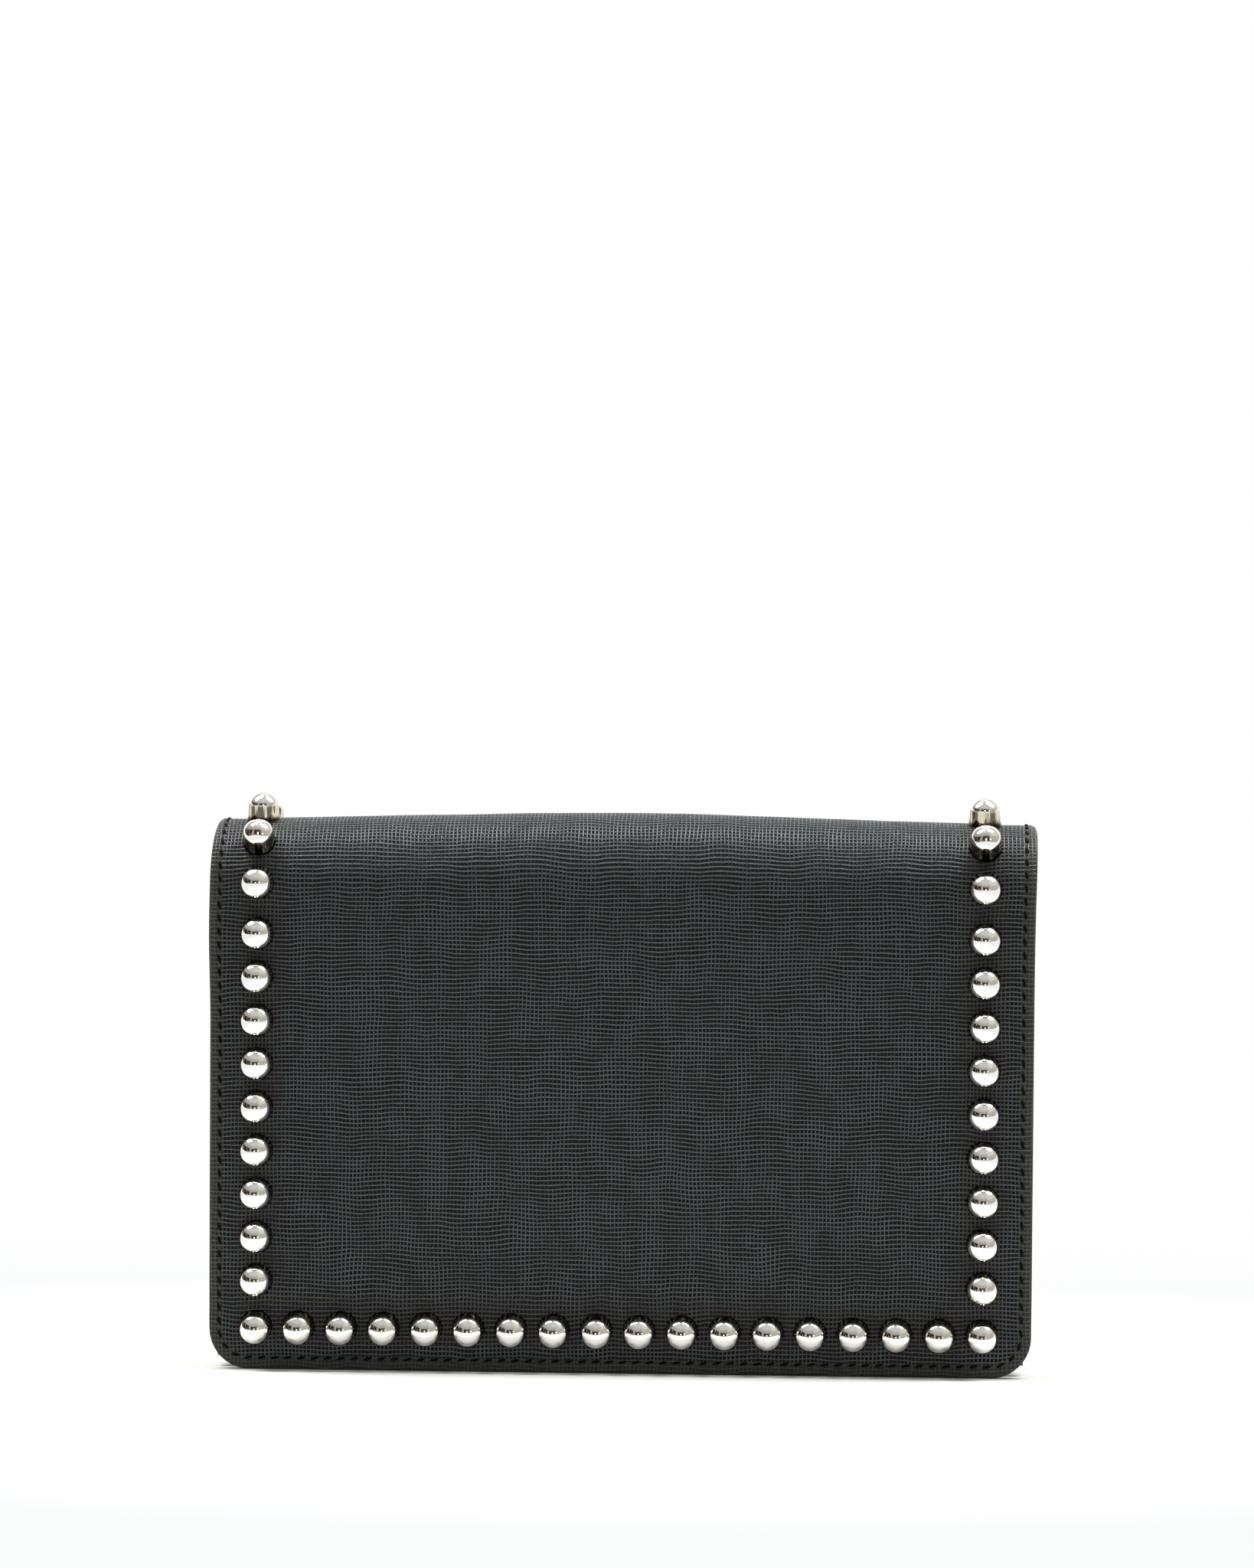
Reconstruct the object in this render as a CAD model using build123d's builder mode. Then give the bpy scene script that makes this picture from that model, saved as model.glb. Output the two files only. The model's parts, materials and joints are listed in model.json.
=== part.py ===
from build123d import *

import os
from math import atan, cos, degrees, pi, radians, sin, tan

# A small studded flap wallet that takes a shoulder chain, standing upright with its flap closed.
# Millimetres. X runs across the wallet, Y from the back panel (-Y) to the flap (+Y), Z up. The
# origin is the middle of the footprint, at floor level.
#
# One leather wrap runs up the back, round the rolled top and down the front as the flap. A place
# on it is given by its travel, the length along the outer surface from the floor at the back, and
# by its depth below that surface. Behind the flap stand the front panel and a zipped pocket, which
# fan out on two pairs of folded gussets when the flap is lifted.

# ---- Outline of the closed wallet -------------------------------------------------------------
wallet_width = 190.0
wallet_height = 127.6
fold_radius = 14.0  # outer surface of the rolled top
back_lean = 3.5  # degrees, the back panel leans out towards the top
front_lean = 1.5
corner_radius = 9.4

# ---- Sheet stock ------------------------------------------------------------------------------
leather = 1.4
board = 0.8  # stiffening board, and the bonded padding inside the roll
lining = 0.8
board_inset = 3.0
flap_gap = 0.4  # between the closed flap and the front panel
pocket_leather = 0.8
gusset_leather = 0.7
seat_gap = 0.25  # clearance of a soft piece from what it is sewn to

# ---- Dome studs -------------------------------------------------------------------------------
stud_height = 6.2
stud_radius = 3.4
stud_wall = 4.0
stud_shoulder_radius = 2.55  # where the rounded shoulder meets the low crown
stud_shoulder = 5.35
stud_tip_radius = 0.9
stud_flat_count = 12  # each round stud is drawn with this many flats
stud_side_inset = 11.4
stud_hem_inset = 9.9
hem_studs = 18
side_gap_count = 8  # even gaps between the two wider ones
corner_pitch = 10.8  # the wider gap above the corner stud
shoulder_pitch = 11.7  # the wider gap below the highest flat stud
roll_pitch = 10.2  # over the roll and down the flap
crown_stud_drop = 0.5  # of the highest flat stud below the start of the roll
flap_studs = 12  # from that stud to the flap's hem row
roll_hinge_count = 4  # folds in the roll, each midway between two studs

# ---- Inside -----------------------------------------------------------------------------------
card_leather = 0.6
card_edge_inset = 5.0
card_drops = (32.0, 45.0, 58.0)  # of each card pocket's mouth below the top, innermost first
card_foot = 14.0
base_lift = 1.0
base_leather = 1.2
base_edge_inset = 11.0
panel_drop = 22.0  # of the front panel's mouth below the top
pocket_drop = 23.0  # of the zipped pocket's mouth below the top
pocket_half_mouth = 3.0
pocket_half_foot = 1.6
gusset_edge_inset = 1.6
gusset_depth = 10.0  # of the fold at the mouth
gusset_drop = 1.0  # below the pocket's mouth
gusset_foot = 8.0
magnet_radius = 6.0
magnet_clearance = 0.1
magnet_inset = 23.2  # above the flap's hem

# ---- Zip --------------------------------------------------------------------------------------
zip_end_gap = 2.4  # from the zip's stops to the ring tabs
tape = 0.5
tape_overhang = 0.3  # beyond the pocket wall
tooth_pitch = 3.0
tooth_root = 0.9
tooth_head = 1.3
tooth_reach = 1.35
tooth_waist = 0.6  # share of the reach at which a tooth is widest
tooth_height = 1.5
tooth_bead = 0.6
tooth_overlap = 0.45
stop_length = 1.6
slider_inset = 11.0  # of the slider's middle from the zip's closed end
slider_length = 8.0
slider_tail = 0.72  # share of the full width at the narrow end
slider_shoulder = 0.6  # share of the length over which it widens
slider_plate = 0.7
slider_clearance = 0.2
slider_cheek = 0.8
cheek_share = 0.4  # of the slider's length
ear_thickness = 0.7
ear_gap = 1.7
pin_radius = 0.45
pull_clearance = 0.1
pull_lift = 0.3  # between the pull and the slider's plate
pull_neck = 2.2
pull_shoulder = 1.8
pull_length = 12.0
pull_width = 4.6
pull_thickness = 1.0

# ---- Chain rings ------------------------------------------------------------------------------
ring_wire = 1.8
ring_opening = 8.0
ring_arm = 3.0
ring_bar_inset = 13.0  # of the ring's bar from the wallet's side edge
tab_clearance = 0.15
tab_leather = 1.0
tab_width = 6.4
tab_length = 17.0
rivet_radius = 1.5
rivet_head = 0.6
rivet_inset = 5.1  # from the tab's inner end

# ---- The wrap's line --------------------------------------------------------------------------
lean_b, lean_f = radians(back_lean), radians(front_lean)
stack = leather + board + lining
roll_z = wallet_height - fold_radius
back_end = (roll_z - fold_radius * sin(lean_b)) / cos(lean_b)
roll_end = back_end + fold_radius * (pi + lean_b + lean_f)
front_depth = stack + flap_gap  # of the front panel's outer face below the wrap
top_stud = back_end - crown_stud_drop
hinge_travel = [top_stud + roll_pitch * (count + 0.5) for count in range(roll_hinge_count)]
flap_hem_row = top_stud + roll_pitch * flap_studs
flap_end = flap_hem_row + stud_hem_inset


def roll_angle(travel):
    """Angle of the wrap's outward normal, from -Y over +Z to +Y, in radians."""
    turned = (travel - back_end) / fold_radius - lean_b
    return min(max(turned, -lean_b), pi + lean_f)


def wrap_point(travel, depth, roll_y=0.0):
    """The (y, z) of a place in the wrap."""
    angle = roll_angle(travel)
    out_y, out_z = -cos(angle), sin(angle)
    past = min(travel - back_end, 0.0) + max(travel - roll_end, 0.0)
    reach = fold_radius - depth
    return (roll_y + reach * out_y + past * out_z, roll_z + reach * out_z - past * out_y)


# The roll's centre is set so that the studs on both faces stand equally far from the origin.
back_tip = wrap_point(top_stud, -stud_height)[0]
front_tip = max(
    wrap_point(top_stud + roll_pitch * count, -stud_height)[0] for count in range(flap_studs + 1)
)
roll_y = -(back_tip + front_tip) / 2


def place(travel, depth):
    return wrap_point(travel, depth, roll_y)


def wrap_plane(x, travel):
    """Plane on the wrap's outer surface, facing out."""
    y, z = place(travel, 0)
    angle = roll_angle(travel)
    return Plane(origin=(x, y, z), x_dir=(1, 0, 0), z_dir=(0, -cos(angle), sin(angle)))


def floor_back(depth):
    """Travel at which the back panel meets the floor, at a depth."""
    return -depth * tan(lean_b)


def height_front(height, depth):
    """Travel at which the front face passes a height, at a depth."""
    return roll_end + (roll_z - (fold_radius - depth) * sin(lean_f) - height) / cos(lean_f)


def wrap_line(depth, start, end):
    """The wrap's line at one depth: straight up the back, round the roll, straight down."""
    if start < back_end:
        Line(place(start, depth), place(min(end, back_end), depth))
    if start < roll_end and end > back_end:
        first, last = max(start, back_end), min(end, roll_end)
        middle = (first + last) / 2
        ThreePointArc(place(first, depth), place(middle, depth), place(last, depth))
    if end > roll_end:
        Line(place(max(start, roll_end), depth), place(end, depth))


def wrap_section(outer, inner):
    """Outline of a layer's section, from two lines given as (depth, start, end)."""
    with BuildLine() as outline:
        wrap_line(*outer)
        wrap_line(*inner)
        Line(place(outer[1], outer[0]), place(inner[1], inner[0]))
        Line(place(outer[2], outer[0]), place(inner[2], inner[0]))
    return outline.edges()


def finish(part, name):
    part.label = name
    export_step(part, f"parts/{name}.step")


os.makedirs("parts", exist_ok=True)
inner_half = wallet_width / 2 - board_inset
inner_corner = corner_radius - board_inset

# ---- Back panel -------------------------------------------------------------------------------
first_hinge, last_hinge = hinge_travel[0], hinge_travel[-1]

with BuildPart() as back_leather:
    with BuildSketch(Plane.YZ):
        face_line = (0, floor_back(0), first_hinge)
        make_face(wrap_section(face_line, (leather, floor_back(leather), first_hinge)))
    extrude(amount=wallet_width / 2, both=True)
    foot_corners = back_leather.edges().filter_by(Axis.Y).group_by(Axis.Z)[0]
    fillet(foot_corners, radius=corner_radius)
finish(back_leather.part, "back_leather")

back_normal = Axis((0, 0, 0), (0, cos(lean_b), sin(lean_b)))
front_normal = Axis((0, 0, 0), (0, cos(lean_f), -sin(lean_f)))

with BuildPart() as back_stiffener:
    with BuildSketch(Plane.YZ):
        face_line = (leather, board_inset, first_hinge)
        make_face(wrap_section(face_line, (leather + board, board_inset, first_hinge)))
    extrude(amount=inner_half, both=True)
    fillet(
        back_stiffener.edges().filter_by(back_normal).group_by(Axis.Z)[0], radius=inner_corner
    )
finish(back_stiffener.part, "back_stiffener")

with BuildPart() as back_lining:
    with BuildSketch(Plane.YZ):
        face_line = (leather + board, floor_back(leather + board), first_hinge)
        make_face(wrap_section(face_line, (stack, floor_back(stack), first_hinge)))
    extrude(amount=wallet_width / 2, both=True)
    foot_corners = back_lining.edges().filter_by(Axis.Y).group_by(Axis.Z)[0]
    fillet(foot_corners, radius=corner_radius)
finish(back_lining.part, "back_lining")

# ---- Card pockets, each lapped over the one before --------------------------------------------
card_names = ("card_pocket_upper", "card_pocket_middle", "card_pocket_lower")
for layer, (name, drop) in enumerate(zip(card_names, card_drops)):
    near, mouth = stack + layer * card_leather, wallet_height - drop
    with BuildPart() as card_pocket:
        with BuildSketch(Plane.YZ):
            face_line = (near, card_foot, mouth)
            make_face(wrap_section(face_line, (near + card_leather, card_foot, mouth)))
        extrude(amount=wallet_width / 2 - card_edge_inset, both=True)
    finish(card_pocket.part, name)

# ---- Base strip between the back and front linings ----------------------------------------------
front_foot_y = place(height_front(base_lift, front_depth + stack), front_depth + stack)[0]
back_foot_y = place((base_lift + base_leather) / cos(lean_b), stack)[0]
with BuildPart() as base_strip:
    with BuildSketch(Plane.YZ):
        with BuildLine():
            Polyline(
                (back_foot_y + seat_gap, base_lift),
                (front_foot_y - seat_gap, base_lift),
                (front_foot_y - seat_gap, base_lift + base_leather),
                (back_foot_y + seat_gap, base_lift + base_leather),
                close=True,
            )
        make_face()
    extrude(amount=wallet_width / 2 - base_edge_inset, both=True)
finish(base_strip.part, "base_strip")

# ---- Studs ------------------------------------------------------------------------------------


def dome_stud(foot):
    """A stud on the XY plane: straight wall, rounded shoulder, low crown. Foot is the lowest z."""
    shoulder_rise, crown_rise = stud_shoulder - stud_wall, stud_height - stud_shoulder
    shoulder_taper = atan((stud_radius - stud_shoulder_radius) / shoulder_rise)
    crown_taper = atan((stud_shoulder_radius - stud_tip_radius) / crown_rise)
    with BuildPart() as stud:
        with BuildSketch(Plane.XY.offset(foot)):
            RegularPolygon(stud_radius, stud_flat_count)
        extrude(amount=stud_wall - foot)
        wall_end = stud.faces().sort_by(Axis.Z)[-1]
        extrude(wall_end, amount=shoulder_rise, taper=degrees(shoulder_taper))
        shoulder_end = stud.faces().sort_by(Axis.Z)[-1]
        extrude(shoulder_end, amount=crown_rise, taper=degrees(crown_taper))
    return stud.part


# On the roll a stud's foot reaches down past the curve and is cut to it.
roll_sink = fold_radius - (fold_radius**2 - stud_radius**2) ** 0.5
flat_stud = dome_stud(0)
roll_stud = dome_stud(-roll_sink - seat_gap)

stud_x = wallet_width / 2 - stud_side_inset
hem_pitch = 2 * stud_x / (hem_studs - 1)
first_side_stud = stud_hem_inset + corner_pitch
side_pitch = (top_stud - shoulder_pitch - first_side_stud) / side_gap_count
side_travel = [first_side_stud + side_pitch * gap for gap in range(side_gap_count + 1)]
side_travel += [top_stud]
hem_x = [-stud_x + hem_pitch * count for count in range(hem_studs)]
sides = (("left", -1), ("right", 1))

with BuildPart() as back_studs_hem:
    with Locations(*[wrap_plane(x, stud_hem_inset) for x in hem_x]):
        add(flat_stud)
finish(back_studs_hem.part, "back_studs_hem")

for side_name, side in sides:
    with BuildPart() as back_studs_side:
        with Locations(*[wrap_plane(side * stud_x, travel) for travel in side_travel]):
            add(flat_stud)
    finish(back_studs_side.part, f"back_studs_{side_name}")

# ---- Rolled top: three strips, each carrying one stud at each side ----------------------------
strip_names = ("rear", "crown", "front")
for number, strip_name in enumerate(strip_names):
    start, end = hinge_travel[number], hinge_travel[number + 1]
    with BuildPart() as roll_leather:
        with BuildSketch(Plane.YZ):
            make_face(wrap_section((0, start, end), (leather + board, start, end)))
        extrude(amount=wallet_width / 2, both=True)
    finish(roll_leather.part, f"roll_leather_{strip_name}")

    with BuildPart() as roll_lining:
        with BuildSketch(Plane.YZ):
            make_face(wrap_section((leather + board, start, end), (stack, start, end)))
        extrude(amount=wallet_width / 2, both=True)
    finish(roll_lining.part, f"roll_lining_{strip_name}")

    stud_travel = top_stud + roll_pitch * (number + 1)
    with BuildPart() as roll_studs:
        with Locations(*[wrap_plane(side * stud_x, stud_travel) for _, side in sides]):
            add(roll_stud)
        add(roll_leather.part, mode=Mode.SUBTRACT)
    finish(roll_studs.part, f"roll_studs_{strip_name}")

# ---- Flap -------------------------------------------------------------------------------------
magnet_plane = wrap_plane(0, flap_end - magnet_inset)

with BuildPart() as flap_leather:
    with BuildSketch(Plane.YZ):
        make_face(wrap_section((0, last_hinge, flap_end), (leather, last_hinge, flap_end)))
    extrude(amount=wallet_width / 2, both=True)
    fillet(
        flap_leather.edges().filter_by(front_normal).group_by(Axis.Z)[0], radius=corner_radius
    )
finish(flap_leather.part, "flap_leather")

board_end = flap_end - board_inset
with BuildPart() as flap_stiffener:
    with BuildSketch(Plane.YZ):
        face_line = (leather, last_hinge, board_end)
        make_face(wrap_section(face_line, (leather + board, last_hinge, board_end)))
    extrude(amount=inner_half, both=True)
    fillet(
        flap_stiffener.edges().filter_by(front_normal).group_by(Axis.Z)[0], radius=inner_corner
    )
    with BuildSketch(magnet_plane.offset(-stack)):
        Circle(magnet_radius + magnet_clearance)
    extrude(amount=stack, mode=Mode.SUBTRACT)
finish(flap_stiffener.part, "flap_stiffener")

with BuildPart() as flap_magnet:
    with BuildSketch(magnet_plane.offset(-leather - board)):
        Circle(magnet_radius)
    extrude(amount=board)
finish(flap_magnet.part, "flap_magnet")

with BuildPart() as flap_lining:
    with BuildSketch(Plane.YZ):
        make_face(wrap_section((leather + board, last_hinge, flap_end), (stack, last_hinge, flap_end)))
    extrude(amount=wallet_width / 2, both=True)
    fillet(
        flap_lining.edges().filter_by(front_normal).group_by(Axis.Z)[0], radius=corner_radius
    )
finish(flap_lining.part, "flap_lining")

with BuildPart() as flap_studs_hem:
    with Locations(*[wrap_plane(x, flap_hem_row) for x in hem_x]):
        add(flat_stud)
finish(flap_studs_hem.part, "flap_studs_hem")

flap_travel = [top_stud + roll_pitch * count for count in range(roll_hinge_count, flap_studs)]
for side_name, side in sides:
    on_roll = [wrap_plane(side * stud_x, travel) for travel in flap_travel if travel < roll_end]
    on_flat = [wrap_plane(side * stud_x, travel) for travel in flap_travel if travel >= roll_end]
    with BuildPart() as flap_studs_side:
        with Locations(*on_roll):
            add(roll_stud)
        with Locations(*on_flat):
            add(flat_stud)
        add(flap_leather.part, mode=Mode.SUBTRACT)
    finish(flap_studs_side.part, f"flap_studs_{side_name}")

# ---- Front panel, under the flap --------------------------------------------------------------
panel_top = wallet_height - panel_drop


def front_span(depth, foot=0.0):
    """(depth, start, end) of a front layer, from the mouth down to a height."""
    return depth, height_front(panel_top, depth), height_front(foot, depth)


front_magnet_plane = magnet_plane.offset(-front_depth - leather - board)

with BuildPart() as front_leather:
    with BuildSketch(Plane.YZ):
        make_face(wrap_section(front_span(front_depth), front_span(front_depth + leather)))
    extrude(amount=wallet_width / 2, both=True)
    fillet(front_leather.edges().filter_by(Axis.Y).group_by(Axis.Z)[0], radius=corner_radius)
finish(front_leather.part, "front_leather")

with BuildPart() as front_stiffener:
    with BuildSketch(Plane.YZ):
        face_line = front_span(front_depth + leather, board_inset)
        make_face(wrap_section(face_line, front_span(front_depth + leather + board, board_inset)))
    extrude(amount=inner_half, both=True)
    fillet(front_stiffener.edges().filter_by(Axis.Y).group_by(Axis.Z)[0], radius=inner_corner)
    with BuildSketch(front_magnet_plane.offset(-stack)):
        Circle(magnet_radius + magnet_clearance)
    extrude(amount=2 * stack, mode=Mode.SUBTRACT)
finish(front_stiffener.part, "front_stiffener")

with BuildPart() as front_magnet:
    with BuildSketch(front_magnet_plane):
        Circle(magnet_radius)
    extrude(amount=board)
finish(front_magnet.part, "front_magnet")

with BuildPart() as front_lining:
    with BuildSketch(Plane.YZ):
        face_line = front_span(front_depth + leather + board)
        make_face(wrap_section(face_line, front_span(front_depth + stack)))
    extrude(amount=wallet_width / 2, both=True)
    fillet(front_lining.edges().filter_by(Axis.Y).group_by(Axis.Z)[0], radius=corner_radius)
finish(front_lining.part, "front_lining")

# ---- Zipped pocket between the two compartments -----------------------------------------------


def back_face_y(height):
    """Face of the outermost card pocket on the back panel, carried on up."""
    reach = fold_radius - stack - len(card_drops) * card_leather
    return roll_y - reach / cos(lean_b) + (roll_z - height) * tan(lean_b)


def front_face_y(height):
    """Inner face of the front panel."""
    reach = fold_radius - front_depth - stack
    return roll_y + reach / cos(lean_f) - (roll_z - height) * tan(lean_f)


def middle_y(height):
    return (back_face_y(height) + front_face_y(height)) / 2


pocket_top = wallet_height - pocket_drop
pocket_foot = base_lift + base_leather + seat_gap
edge_half = wallet_width / 2 - gusset_edge_inset  # half width of pocket and gussets
mouth_y, foot_y = middle_y(pocket_top), middle_y(pocket_foot)


def pocket_wall(side, floor):
    """Section of one wall; with floor it also closes the pocket's foot."""
    outer_mouth = mouth_y + side * pocket_half_mouth
    outer_foot = foot_y + side * pocket_half_foot
    inner_mouth = outer_mouth - side * pocket_leather
    inner_foot = outer_foot - side * pocket_leather
    far_foot = foot_y - side * (pocket_half_foot - pocket_leather - seat_gap)
    points = [(outer_mouth, pocket_top), (outer_foot, pocket_foot)]
    if floor:
        points += [(far_foot, pocket_foot), (far_foot, pocket_foot + pocket_leather)]
        points += [(inner_foot, pocket_foot + pocket_leather)]
    else:
        points += [(inner_foot, pocket_foot)]
    points += [(inner_mouth, pocket_top)]
    with BuildLine() as outline:
        Polyline(*points, close=True)
    return outline.edges()


with BuildPart() as pocket_wall_back:
    with BuildSketch(Plane.YZ):
        make_face(pocket_wall(-1, floor=True))
    extrude(amount=edge_half, both=True)
finish(pocket_wall_back.part, "pocket_wall_back")

with BuildPart() as pocket_wall_front:
    with BuildSketch(Plane.YZ):
        make_face(pocket_wall(1, floor=False))
    extrude(amount=edge_half, both=True)
finish(pocket_wall_front.part, "pocket_wall_front")

# ---- Gussets: folded inward between each panel and the pocket ---------------------------------


def gusset_faces(height, face_y, pocket_side):
    """The y of the panel's side and of the pocket's side of a gusset, at a height."""
    rise = (height - pocket_foot) / (pocket_top - pocket_foot)
    half = pocket_half_foot + rise * (pocket_half_mouth - pocket_half_foot)
    return face_y(height) - pocket_side * seat_gap, middle_y(height) + pocket_side * (half + seat_gap)


def gusset_section(side, steepness, height, panel_y, pocket_y):
    """Corners of the V fold at a height, open towards the wallet's side. Steepness is depth per run."""
    run = (pocket_y - panel_y) / 2
    edge, fold = side * edge_half, side * (edge_half - steepness * abs(run))
    wide = gusset_leather * (1 + steepness**2) ** 0.5 / steepness  # thickness measured along Y
    deep = side * steepness * wide  # the same thickness measured along X
    if run < 0:
        wide = -wide
    middle = (panel_y + pocket_y) / 2
    return [
        (edge, panel_y, height),
        (edge, panel_y + wide, height),
        (fold + deep, middle, height),
        (edge, pocket_y - wide, height),
        (edge, pocket_y, height),
        (fold, middle, height),
    ]


gusset_top = pocket_top - gusset_drop
for panel_name, face_y, pocket_side in (("back", back_face_y, -1), ("front", front_face_y, 1)):
    mouth_faces = gusset_faces(gusset_top, face_y, pocket_side)
    steepness = 2 * gusset_depth / abs(mouth_faces[1] - mouth_faces[0])
    for side_name, side in sides:
        foot, mouth = [
            gusset_section(side, steepness, height, *gusset_faces(height, face_y, pocket_side))
            for height in (gusset_foot, gusset_top)
        ]
        walls = [(foot[k - 1], foot[k], mouth[k], mouth[k - 1]) for k in range(len(foot))]
        with BuildPart() as gusset:
            add(Solid(Shell([Face(Wire.make_polygon(ring)) for ring in [foot, mouth, *walls]])))
        finish(gusset.part, f"gusset_{side_name}_{panel_name}")

# ---- Zip, between the two ring tabs ------------------------------------------------------------
bar_x = wallet_width / 2 - ring_bar_inset
zip_length = 2 * (bar_x - tab_length - zip_end_gap - stop_length)
tape_z = pocket_top + tape
tooth_low = tape_z - tape / 2 - tooth_height / 2
bead_in = tooth_reach - tooth_overlap  # from the zip's middle to the teeth's roots
bead_out = bead_in + tooth_bead
tooth_count = int(zip_length / tooth_pitch)

for tape_name, side in (("back", -1), ("front", 1)):
    with BuildPart() as zip_tape:
        with BuildSketch(Plane.XY.offset(pocket_top)):
            near, far = side * bead_out, side * (pocket_half_mouth + tape_overhang)
            with Locations((0, mouth_y + (near + far) / 2)):
                Rectangle(2 * bar_x, abs(far - near))
        extrude(amount=tape)
    finish(zip_tape.part, f"zip_tape_{tape_name}")

    first_tooth = -zip_length / 2 + tooth_pitch * (2 + side) / 4  # half a pitch apart
    with BuildPart() as zip_teeth:
        with BuildSketch(Plane.XY.offset(tooth_low)):
            with Locations((0, mouth_y + side * (bead_in + bead_out) / 2)):
                Rectangle(zip_length, tooth_bead)
            for tooth in range(tooth_count):
                x = first_tooth + tooth * tooth_pitch
                root_y = mouth_y + side * bead_in
                head_y = root_y - side * tooth_reach * tooth_waist
                tip_y = root_y - side * tooth_reach
                with BuildLine():
                    Polyline(
                        (x - tooth_root / 2, root_y),
                        (x - tooth_head / 2, head_y),
                        (x - tooth_root / 2, tip_y),
                        (x + tooth_root / 2, tip_y),
                        (x + tooth_head / 2, head_y),
                        (x + tooth_root / 2, root_y),
                        close=True,
                    )
                make_face()
        extrude(amount=tooth_height)
    finish(zip_teeth.part, f"zip_teeth_{tape_name}")

with BuildPart() as zip_stops:
    with BuildSketch(Plane.XY.offset(tooth_low)):
        with Locations(*[(side * (zip_length + stop_length) / 2, mouth_y) for side in (-1, 1)]):
            Rectangle(stop_length, 2 * bead_out)
    extrude(amount=tooth_height)
finish(zip_stops.part, "zip_stops")

# ---- Slider: a plate over the teeth with cheeks beside them, and ears that hold the pull's pin -
slider_start = slider_inset - zip_length / 2
plate_low = tooth_low + tooth_height + slider_clearance
cheek_in = bead_out + slider_clearance
cheek_out = cheek_in + slider_cheek
pin_z = plate_low + slider_plate + pull_lift + pull_thickness
ear_out = ear_gap / 2 + ear_thickness
slider_plane = Plane((slider_start, mouth_y, 0))
tail, head = -slider_length / 2, slider_length / 2
tail_y, shoulder_x = cheek_out * slider_tail, tail + slider_length * slider_shoulder

with BuildPart() as zip_slider:
    with BuildSketch(slider_plane.offset(plate_low)):
        with BuildLine():
            Polyline(
                (tail, -tail_y),
                (shoulder_x, -cheek_out),
                (head, -cheek_out),
                (head, cheek_out),
                (shoulder_x, cheek_out),
                (tail, tail_y),
                close=True,
            )
        make_face()
    extrude(amount=slider_plate)
    with BuildSketch(slider_plane.offset(tape_z + slider_clearance)):
        cheek_y, cheek_length = (cheek_in + cheek_out) / 2, slider_length * cheek_share
        cheek_x = head - cheek_length / 2
        with Locations((cheek_x, cheek_y), (cheek_x, -cheek_y)):
            Rectangle(cheek_length, slider_cheek)
    extrude(amount=plate_low - tape_z - slider_clearance)
    with BuildSketch(slider_plane.offset(plate_low + slider_plate)):
        ear_y = (ear_gap + ear_thickness) / 2
        with Locations((0, ear_y), (0, -ear_y)):
            Rectangle(4 * pin_radius, ear_thickness)
    extrude(amount=pin_z + 2 * pin_radius - plate_low - slider_plate)
    with Locations(Plane((slider_start, mouth_y, pin_z), z_dir=(0, 1, 0))):
        Cylinder(pin_radius, 2 * ear_out)
finish(zip_slider.part, "zip_slider")

with BuildPart() as zip_pull:
    eye_bore = pin_radius + pull_clearance
    eye_radius = eye_bore + pull_thickness / 2
    neck = ear_gap - 2 * pull_clearance
    neck_end = eye_radius + pull_neck
    shoulder_end = neck_end + pull_shoulder
    with Locations(Plane((slider_start, mouth_y, pin_z), z_dir=(0, 1, 0))):
        Cylinder(eye_radius, neck)
    with BuildSketch(slider_plane.offset(pin_z - pull_thickness / 2)):
        with BuildLine():
            Polyline(
                (0, -neck / 2),
                (neck_end, -neck / 2),
                (shoulder_end, -pull_width / 2),
                (pull_length, -pull_width / 2),
                (pull_length, pull_width / 2),
                (shoulder_end, pull_width / 2),
                (neck_end, neck / 2),
                (0, neck / 2),
                close=True,
            )
        make_face()
    extrude(amount=pull_thickness)
    with Locations(Plane((slider_start, mouth_y, pin_z), z_dir=(0, 1, 0))):
        Cylinder(eye_bore, 2 * neck, mode=Mode.SUBTRACT)
finish(zip_pull.part, "zip_pull")

# ---- Chain rings in leather tabs at the pocket's top corners ----------------------------------
wire_radius = ring_wire / 2
loop_bore = wire_radius + tab_clearance
loop_radius = loop_bore + tab_leather
bar_z = tape_z + loop_radius
ring_outer = ring_opening / 2 + ring_wire

for side_name, side in sides:
    tab_plane = Plane(origin=(side * bar_x, mouth_y, bar_z), x_dir=(side, 0, 0), z_dir=(0, -side, 0))
    with BuildPart() as ring_tab:
        with BuildSketch(tab_plane):
            Circle(loop_radius)
            with Locations((-tab_length / 2, -loop_radius + tab_leather / 2)):
                Rectangle(tab_length, tab_leather)
            Circle(loop_bore, mode=Mode.SUBTRACT)
        extrude(amount=tab_width / 2, both=True)
    finish(ring_tab.part, f"ring_tab_{side_name}")

    ring_plane = Plane(
        origin=(side * bar_x, mouth_y, bar_z - wire_radius), x_dir=(side, 0, 0), z_dir=(0, 0, 1)
    )
    with BuildPart() as chain_ring:
        with BuildSketch(ring_plane):
            with Locations((ring_arm, 0)):
                Circle(ring_outer)
            with Locations((ring_arm / 2, 0)):
                Rectangle(ring_arm, 2 * ring_outer)
            with Locations((-ring_outer / 2, 0)):
                Rectangle(ring_outer, 2 * ring_outer, mode=Mode.SUBTRACT)
            with Locations((ring_arm, 0)):
                Circle(ring_opening / 2, mode=Mode.SUBTRACT)
            with Locations((ring_arm / 2, 0)):
                Rectangle(ring_arm, ring_opening, mode=Mode.SUBTRACT)
        extrude(amount=ring_wire)
        with Locations(Plane((side * bar_x, mouth_y, bar_z), z_dir=(0, 1, 0))):
            Cylinder(wire_radius, 2 * ring_outer)
    finish(chain_ring.part, f"chain_ring_{side_name}")

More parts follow.
